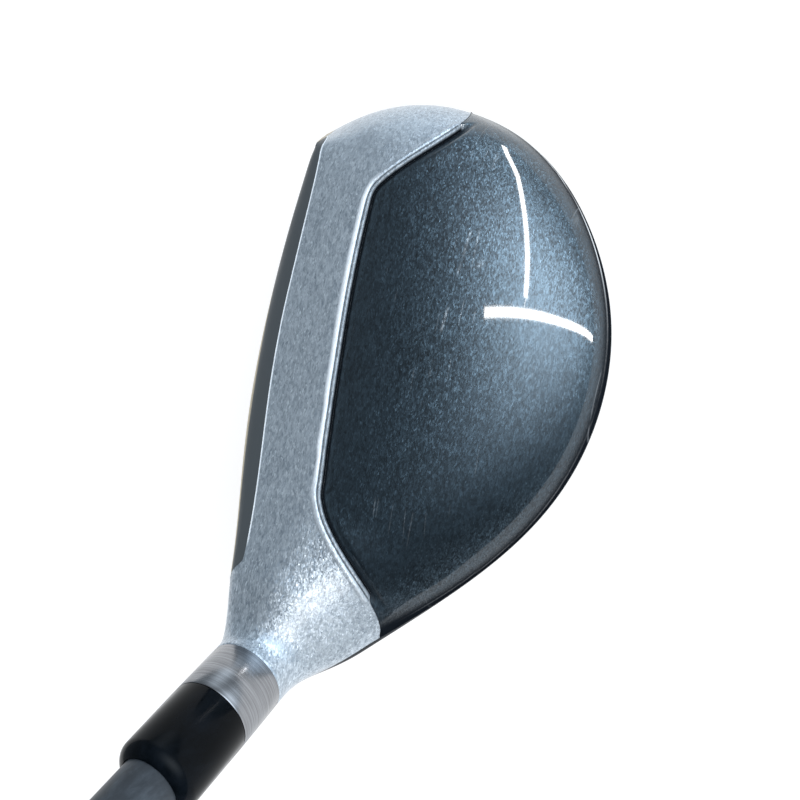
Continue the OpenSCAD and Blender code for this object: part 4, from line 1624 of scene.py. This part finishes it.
@dataclass
class ShaftLine:
    """The turned pieces on the shaft axis.

    Sizes are in millimetres, and heights run up the axis from the ground.

    Attributes:
        axis, finishes: the shaft axis and the club's finishes.
        neck_top: where the painted neck ends.
        hosel_radius, band_length: of the bare band above it.
        bore_radius, bore_bottom: of the bore for the shaft.
        tube_radius, tube_foot: of the hosel's tube inside the neck.
        bore_stop: radius where the tube's foot is closed.
        ferrule_length, ferrule_top_radius, ferrule_round: of the ferrule.
        tip_radius, tip_length, shaft_foot: the shaft's parallel tip and its lower end.
        club_length: up to the cap's top.
        butt_radius, tip_wall, butt_wall: of the shaft.
        joint: gap left between two pieces that meet end to end.
        grip_length, mouth_radius, grip_radius, grip_bore: of the grip.
        cap_wall, vent_radius: of the cap.
        cut_turns, cut_pitch, cut_half, cut_depth: the grip's crossed cuts; cut_half is half
            a cut's width as a share of the pattern's wave.
        cut_start, cut_end: where they start above the mouth and end below the top.
        cut_fade: the stretch over which they grow and fade.
        plain_start, plain_pitch, plain_half, plain_fade: the plain bands between them.
        ring_pitch, ring_half, ring_top, ring_depth: the rings at the mouth.
        taper_start, taper_end: parallel lengths at the mouth and the top.
        mouth_lip, mouth_round: how far the mouth turns in, and over what length.
        wall_inset: how much the grip's skin stands below its radius.
        grip_columns, grip_rows: the grip's grid.
        cap_round: radius of the cap's edge.
        cap_rings, cap_ring_depth: radii of the cap's shallow rings, and their depth.
    """

    axis: ShaftAxis
    finishes: Finishes
    neck_top: float
    hosel_radius: float
    band_length: float = 9.3
    bore_radius: float = 4.74
    bore_bottom: float = 17.5
    tube_radius: float = 5.6
    tube_foot: float = 15.0
    ferrule_length: float = 13.7
    ferrule_top_radius: float = 6.55
    ferrule_round: float = 2.2
    tip_radius: float = 4.7
    tip_length: float = 90.0
    shaft_foot: float = 18.76
    club_length: float = 1029.0
    grip_length: float = 267.0
    butt_radius: float = 7.6
    mouth_radius: float = 9.2
    grip_radius: float = 13.7
    grip_bore: float = 8.0
    cap_wall: float = 3.0
    vent_radius: float = 1.25
    bore_stop: float = 0.4
    tip_wall: float = 2.0
    butt_wall: float = 1.2
    joint: float = 0.03
    cut_turns: int = 22
    cut_pitch: float = 3.6
    cut_half: float = 0.22
    cut_depth: float = 0.35
    cut_start: float = 12.0
    cut_end: float = 14.0
    cut_fade: float = 3.0
    plain_start: float = 40.0
    plain_pitch: float = 52.0
    plain_half: float = 4.0
    plain_fade: float = 1.2
    ring_pitch: float = 3.0
    ring_half: float = 0.35
    ring_top: float = 11.0
    ring_depth: float = 0.3
    taper_start: float = 4.0
    taper_end: float = 12.0
    mouth_lip: float = 0.7
    mouth_round: float = 1.2
    wall_inset: float = 0.05
    grip_columns: int = 176
    grip_rows: int = 520
    cap_round: float = 1.6
    cap_rings: Sequence[float] = (10.2, 6.4)
    cap_ring_depth: float = 0.25

    def _turned(self, name: str, profile: Sequence[tuple[float, float]], degrees: float,
                material: bpy.types.Material, slot: Slot) -> bpy.types.Object:
        """Turns a piece on the shaft axis and hands it over.

        Args:
            name: the piece's name, which is its CAD node's too.
            profile: radius and height pairs.
            degrees: the angle past which an edge stays sharp.
            material: its finish.
            slot: the record's slot of that finish.

        Returns:
            The piece.
        """
        piece = lathe(name, profile, self.axis.matrix())
        shade(piece, degrees)
        return hand_over(piece, material, slot, name)

    def build_band(self) -> bpy.types.Object:
        """Hosel tube with its bare, turned upper end."""
        foot, top, r = self.neck_top + 0.05, self.neck_top + self.band_length, self.hosel_radius
        profile = [
            (self.bore_radius, self.bore_bottom), (self.bore_radius, top - 0.4),
            (self.bore_radius + 0.3, top), (r - 0.22, top), (r - 0.07, top - 0.05),
            (r, top - 0.2), (r, foot + 0.2), (r - 0.06, foot + 0.05), (r - 0.2, foot),
            (self.tube_radius, foot), (self.tube_radius, self.tube_foot),
            (self.bore_stop, self.tube_foot), (self.bore_stop, self.bore_bottom),
        ]
        return self._turned("hosel_tube", profile, 30, self.finishes.band, Slot.BAND)

    def build_ferrule(self) -> bpy.types.Object:
        """Glossy ferrule, tapered a little and rounded over at its upper end."""
        foot = self.neck_top + self.band_length + self.joint
        top, r = foot + self.ferrule_length, self.hosel_radius
        rim = self.ferrule_top_radius - self.ferrule_round
        profile = [(self.bore_radius, foot), (r - 0.25, foot), (r - 0.08, foot + 0.06),
                   (r, foot + 0.25)]
        profile += arc((rim, top - self.ferrule_round), self.ferrule_round, 0, 84, 12)
        profile += [(self.bore_radius + 0.12, top - 0.02), (self.bore_radius, top - 0.2)]
        profile = [point for point in profile if point[0] >= self.bore_radius]
        return self._turned("ferrule", profile, 40, self.finishes.ferrule, Slot.FERRULE)

    def build_shaft(self) -> bpy.types.Object:
        """Tapered tubular shaft."""
        end = self.club_length - self.cap_wall - self.joint
        taper = self.shaft_foot + self.tip_length, end - self.grip_length
        outer = [(self.tip_radius, self.shaft_foot), (self.tip_radius, taper[0])]
        outer += [(self.butt_radius, taper[1]), (self.butt_radius, end)]
        butt, tip = self.butt_radius - self.butt_wall, self.tip_radius - self.tip_wall
        inner = [(butt, end), (butt, taper[1]), (tip, taper[0]), (tip, self.shaft_foot)]
        return self._turned("shaft", outer + inner, 30, self.finishes.shaft, Slot.SHAFT)

    def _grip_relief(self, height: np.ndarray, angle: np.ndarray) -> np.ndarray:
        """Depth of the grip's pattern.

        Args:
            height: heights above the grip's mouth, in millimetres.
            angle: angles round it, in radians.

        Returns:
            The depth at each place, in millimetres.
        """
        round_it, up_it = angle * self.cut_turns / 2, height * math.pi / self.cut_pitch / 2
        cuts = sum(np.maximum(1 - np.abs(np.sin(wave)) / self.cut_half, 0)
                   for wave in (round_it + up_it, round_it - up_it))
        band = (rise(height, self.cut_start, self.cut_fade)
                * fade(height, self.grip_length - self.cut_end, self.cut_fade))
        half = self.plain_pitch / 2
        from_plain = np.abs((height - self.plain_start) % self.plain_pitch - half)
        plain = rise(from_plain, self.plain_half, self.plain_fade)
        from_ring = np.abs((height - 2 * self.ring_pitch) % self.ring_pitch - self.ring_pitch / 2)
        rings = np.clip(1 - from_ring / self.ring_half, 0, 1) * (height < self.ring_top)
        return self.cut_depth * np.minimum(cuts, 1) * band * plain + self.ring_depth * rings

    def build_grip(self) -> bpy.types.Object:
        """Rubber grip with a crossed pattern between plain bands."""
        foot = self.club_length - self.cap_wall - self.joint - self.grip_length
        height = np.linspace(0, self.grip_length, self.grip_rows)
        angle = np.linspace(0, 2 * math.pi, self.grip_columns + 1)
        taper_length = self.grip_length - self.taper_start - self.taper_end
        taper = np.clip((height - self.taper_start) / taper_length, 0, 1)
        radius = self.mouth_radius + (self.grip_radius - self.mouth_radius) * taper
        radius = radius - self.mouth_lip * (1 - ease(height / self.mouth_round))
        h, a = np.meshgrid(height, angle, indexing="ij")
        r = radius[:, None] - self._grip_relief(h, a) - self.wall_inset
        side = np.cross(self.axis.top_side, self.axis.along)
        points = (np.cos(a)[..., None] * side + np.sin(a)[..., None] * self.axis.top_side)
        points = points * r[..., None] + (h + foot)[..., None] * self.axis.along
        piece = grid_piece("grip_sleeve", points * MM + self.axis.foot)
        weld(piece)
        self._close_grip_ends(piece)
        shade(piece, 50)
        return hand_over(piece, self.finishes.grip, Slot.GRIP, "grip_sleeve")

    def _close_grip_ends(self, piece: bpy.types.Object) -> None:
        """Turns both open ends of the grip in to its bore and joins them by the bore's wall.

        Args:
            piece: the grip's skin, open at both ends.
        """
        mesh = piece.data
        middle = self.axis.foot + self.axis.along * (self.club_length - self.grip_length / 2) * MM
        for end in (-1, 1):
            make_active(piece)
            select_open_edges()
            bpy.ops.object.mode_set(mode="OBJECT")
            for edge in mesh.edges:
                centre = np.array(mesh.vertices[edge.vertices[0]].co)
                if edge.select and (centre - middle) @ self.axis.along * end < 0:
                    edge.select = False
            for vertex in mesh.vertices:
                vertex.select = False
            ring = {v for e in mesh.edges if e.select for v in e.vertices}
            centre = np.mean([np.array(mesh.vertices[v].co) for v in ring], axis=0)
            radius = np.linalg.norm(np.array(mesh.vertices[next(iter(ring))].co) - centre)
            bpy.ops.object.mode_set(mode="EDIT")
            bpy.ops.mesh.extrude_region_move()
            share = self.grip_bore * MM / radius
            bpy.ops.transform.resize(value=(share, share, share), center_override=tuple(centre))
            bpy.ops.object.mode_set(mode="OBJECT")
        select_open_edges()
        bpy.ops.mesh.bridge_edge_loops()
        bpy.ops.mesh.select_all(action="SELECT")
        bpy.ops.mesh.normals_make_consistent(inside=False)
        bpy.ops.object.mode_set(mode="OBJECT")

    def build_cap(self) -> bpy.types.Object:
        """Grip cap with a rounded edge, two shallow rings and its vent hole."""
        foot, r, wall = self.club_length - self.cap_wall, self.grip_radius, self.cap_wall
        top = foot + wall
        profile = [(self.vent_radius, foot), (r - 0.3, foot), (r - 0.05, foot + 0.2)]
        profile += arc((r - 0.05 - self.cap_round, top - self.cap_round), self.cap_round, 0, 90)
        floor = top - self.cap_ring_depth
        for ring in self.cap_rings:
            profile += [(ring, top), (ring - 0.2, floor), (ring - 0.5, floor), (ring - 0.7, top)]
        profile += [(self.vent_radius + 0.3, top), (self.vent_radius, top - 0.3)]
        return self._turned("grip_cap", profile, 35, self.finishes.grip, Slot.GRIP)

    def build(self) -> None:
        """Builds everything on the shaft axis."""
        self.build_band()
        self.build_ferrule()
        self.build_shaft()
        self.build_grip()
        self.build_cap()


@dataclass
class InnerPieces:
    """CAD pieces that stay as they are, inside the head, the shaft and the grip."""

    finishes: Finishes

    def dress(self) -> None:
        """Gives each inner piece its finish."""
        for node, material in (("rear_weight", self.finishes.weight),
                               ("crown_ledge", self.finishes.ledge),
                               ("tip_pin", self.finishes.pin),
                               ("grip_tape", self.finishes.tape)):
            piece = frame["nodes"][node]
            piece.data.materials.clear()
            piece.data.materials.append(material)
            log.info("%s: finish %s", node, material.name)


# ---------------------------------------------------------------- stage


def direction(azimuth: float, elevation: float) -> tuple[float, float, float]:
    """Unit vector towards an azimuth from +X and an elevation, in degrees."""
    a, e = math.radians(azimuth), math.radians(elevation)
    return math.cos(e) * math.cos(a), math.cos(e) * math.sin(a), math.sin(e)


@dataclass(frozen=True)
class Glow:
    """A soft bright region of the surround.

    Attributes:
        azimuth, elevation: where its middle is, in degrees.
        strength: how bright its middle is.
        narrowness: power of the cosine that it fades by.
    """

    azimuth: float
    elevation: float
    strength: float
    narrowness: float = 2.0


@dataclass(frozen=True)
class Lamp:
    """A rectangular lamp between two directions from the head, which it faces.

    Attributes:
        name: the lamp's name.
        ends: azimuth and elevation of its two ends, in degrees.
        width: its width, in metres.
        radiance: how bright its face is, where 1 is white.
        distance: from the head, in metres.
        colour: its colour.
        reflected: whether shiny pieces mirror it.
        only: names of the pieces that it lights, or none for all.
    """

    name: str
    ends: tuple
    width: float
    radiance: float
    distance: float = 1.5
    colour: tuple = (1.0, 0.98, 0.96)
    reflected: bool = True
    only: tuple = ()


@dataclass
class Studio:
    """Pale floor, soft lamps and the camera.

    Attributes:
        axis: the shaft axis, which the lamps are placed from.
        aim: what the lamps face, from the axis's foot, in metres.
        ceiling: the surround's own strength.
        horizon, horizon_power: what it gains at the horizon, and how fast that fades upward.
        air: the surround's colour.
        glows, lamps: the surround's bright regions and the lamps.
        floor_size, floor_colour, floor_roughness: of the floor, in metres.
        floor_light: strength of its light where it is seen directly or mirrored.
        eye: the camera's place.
        right, down, ahead: directions across, down and into its view.
        lens, sensor: its focal length and sensor width, in millimetres.
        near, far: the range it sees, in metres.
    """

    axis: ShaftAxis
    aim: tuple = (-0.04, 0.02, 0.03)
    ceiling: float = 0.09
    horizon: float = 0.1
    horizon_power: float = 5.0
    air: tuple = (0.84, 0.95, 1.05)
    glows: Sequence[Glow] = (Glow(122, 40, 4.2, 7.0), Glow(-100, 10, 0.3), Glow(-170, 2, 1.5, 20))
    lamps: Sequence[Lamp] = (
        Lamp("key", ((37, 46), (37, 46)), 0.8, 6, reflected=False),
        Lamp("long_strip", ((165, 2), (124, 49)), 0.052, 30, only=("crown_panel", "grip_cap")),
        Lamp("short_strip", ((131, 68), (107, 2)), 0.06, 30, only=("crown_panel", "grip_cap")),
        Lamp("neck_spot", ((37, 43), (37, 43)), 0.5, 8, only=("crown_front",)),
    )
    floor_size: float = 6.0
    floor_colour: tuple = (0.3, 0.3, 0.3)
    floor_roughness: float = 0.9
    floor_light: float = 0.8
    eye: tuple = (0.0126, 0.0613, 0.15525)
    right: tuple = (-0.198342, 0.896125, -0.397015)
    down: tuple = (0.979786, 0.170505, -0.104628)
    ahead: tuple = (-0.026067, -0.409742, -0.911829)
    lens: float = 38.25
    sensor: float = 36.0
    near: float = 0.01
    far: float = 50.0

    def build_camera(self) -> None:
        """Camera over the head, looking down at it as a player does."""
        data = bpy.data.cameras.new("camera")
        data.lens, data.sensor_width = self.lens, self.sensor
        data.clip_start, data.clip_end = self.near, self.far
        camera = bpy.data.objects.new("camera", data)
        axes = Matrix((self.right, tuple(-v for v in self.down), tuple(-v for v in self.ahead)))
        camera.matrix_world = Matrix.Translation(self.eye) @ axes.transposed().to_4x4()
        bpy.context.scene.collection.objects.link(camera)
        bpy.context.scene.camera = camera

    def build_floor(self) -> None:
        """Plain pale floor, which glows only where it is seen directly or mirrored."""
        deselect()
        bpy.ops.mesh.primitive_plane_add(size=self.floor_size)
        floor = name_active("floor")
        material = Tree("pale_floor")
        rays = material.node("LightPath").outputs
        seen = rays["Is Camera Ray"]
        for name in ("Is Glossy Ray", "Is Transmission Ray"):
            seen = material.maths("ADD", seen, rays[name], clamp=True)
        floor.data.materials.append(material.finish(
            Base_Color=self.floor_colour, Roughness=self.floor_roughness,
            Emission_Color=(1, 1, 1),
            Emission_Strength=material.maths("MULTIPLY", seen, self.floor_light)))

    def build_surround(self) -> None:
        """Dim overhead, a little paler at the horizon, and brightest where its glows are."""
        world = bpy.data.worlds.new("surround")
        bpy.context.scene.world = world
        world.use_nodes = True
        tree = world.node_tree
        facing = tree.nodes.new("ShaderNodeTexCoord").outputs["Generated"]
        total = self.ceiling
        for glow in self.glows:
            towards = vector_maths(tree, "DOT_PRODUCT", facing,
                                   direction(glow.azimuth, glow.elevation))
            lobe = maths(tree, "POWER", maths(tree, "MAXIMUM", towards, 0.0), glow.narrowness)
            total = maths(tree, "MULTIPLY_ADD", lobe, glow.strength, total)
        height = tree.nodes.new("ShaderNodeSeparateXYZ")
        feed(tree, height.inputs["Vector"], facing)
        down = maths(tree, "SUBTRACT", 1.0, maths(tree, "MAXIMUM", height.outputs["Z"], 0.0))
        low = maths(tree, "POWER", down, self.horizon_power)
        back = tree.nodes["Background"]
        feed(tree, back.inputs["Color"], (*self.air, 1))
        feed(tree, back.inputs["Strength"], maths(tree, "MULTIPLY_ADD", low, self.horizon, total))

    def build_lamps(self) -> None:
        """The lamps, each with its face turned to the head."""
        head = Vector(self.axis.foot) + Vector(self.aim)
        for lamp in self.lamps:
            data = bpy.data.lights.new(lamp.name, "AREA")
            start, stop = (head + Vector(direction(*end)) * lamp.distance for end in lamp.ends)
            middle = (start + stop) / 2
            back = (middle - head).normalized()
            if stop == start:
                side, span = back.cross(Vector((0, 0, 1))).normalized(), lamp.width
            else:
                side, span = (stop - start).normalized(), (stop - start).length
            back = (back - side * back.dot(side)).normalized()
            data.shape, data.size, data.size_y = "RECTANGLE", span, lamp.width
            data.color, data.energy = lamp.colour, lamp.radiance * math.pi * span * lamp.width
            made = bpy.data.objects.new(lamp.name, data)
            axes = Matrix((side, back.cross(side), back)).transposed()
            made.matrix_world = Matrix.Translation(middle) @ axes.to_4x4()
            made.visible_glossy = lamp.reflected
            bpy.context.scene.collection.objects.link(made)
            if lamp.only:
                made.light_linking.receiver_collection = self._lit_pieces(lamp)

    def _lit_pieces(self, lamp: Lamp) -> bpy.types.Collection:
        """The pieces that one lamp lights, with the CAD nodes of the same names.

        Args:
            lamp: the lamp.

        Returns:
            A collection of them.
        """
        lit = bpy.data.collections.new(lamp.name)
        for piece in bpy.data.objects:
            if piece.name.split(".")[0] in lamp.only and piece.type == "MESH":
                lit.objects.link(piece)
        return lit

    def build(self) -> None:
        """Sets the stage, once every piece is there for the lamps to light."""
        self.build_camera()
        self.build_floor()
        self.build_surround()
        self.build_lamps()
        bpy.context.scene.view_settings.view_transform = "Standard"


def main() -> None:
    """Builds the club piece by piece, then the stage."""
    logging.basicConfig(level=logging.INFO, format="%(name)s %(message)s")
    axis = ShaftAxis.from_record(frame["record"])
    finishes = Finishes()
    skin = HeadSkin(axis)
    Head(skin, Seams(), finishes).build()
    ShaftLine(axis, finishes, skin.neck_top, skin.neck_radius).build()
    InnerPieces(finishes).dress()
    Studio(axis).build()
    deselect()


if __name__ == "__main__":
    main()
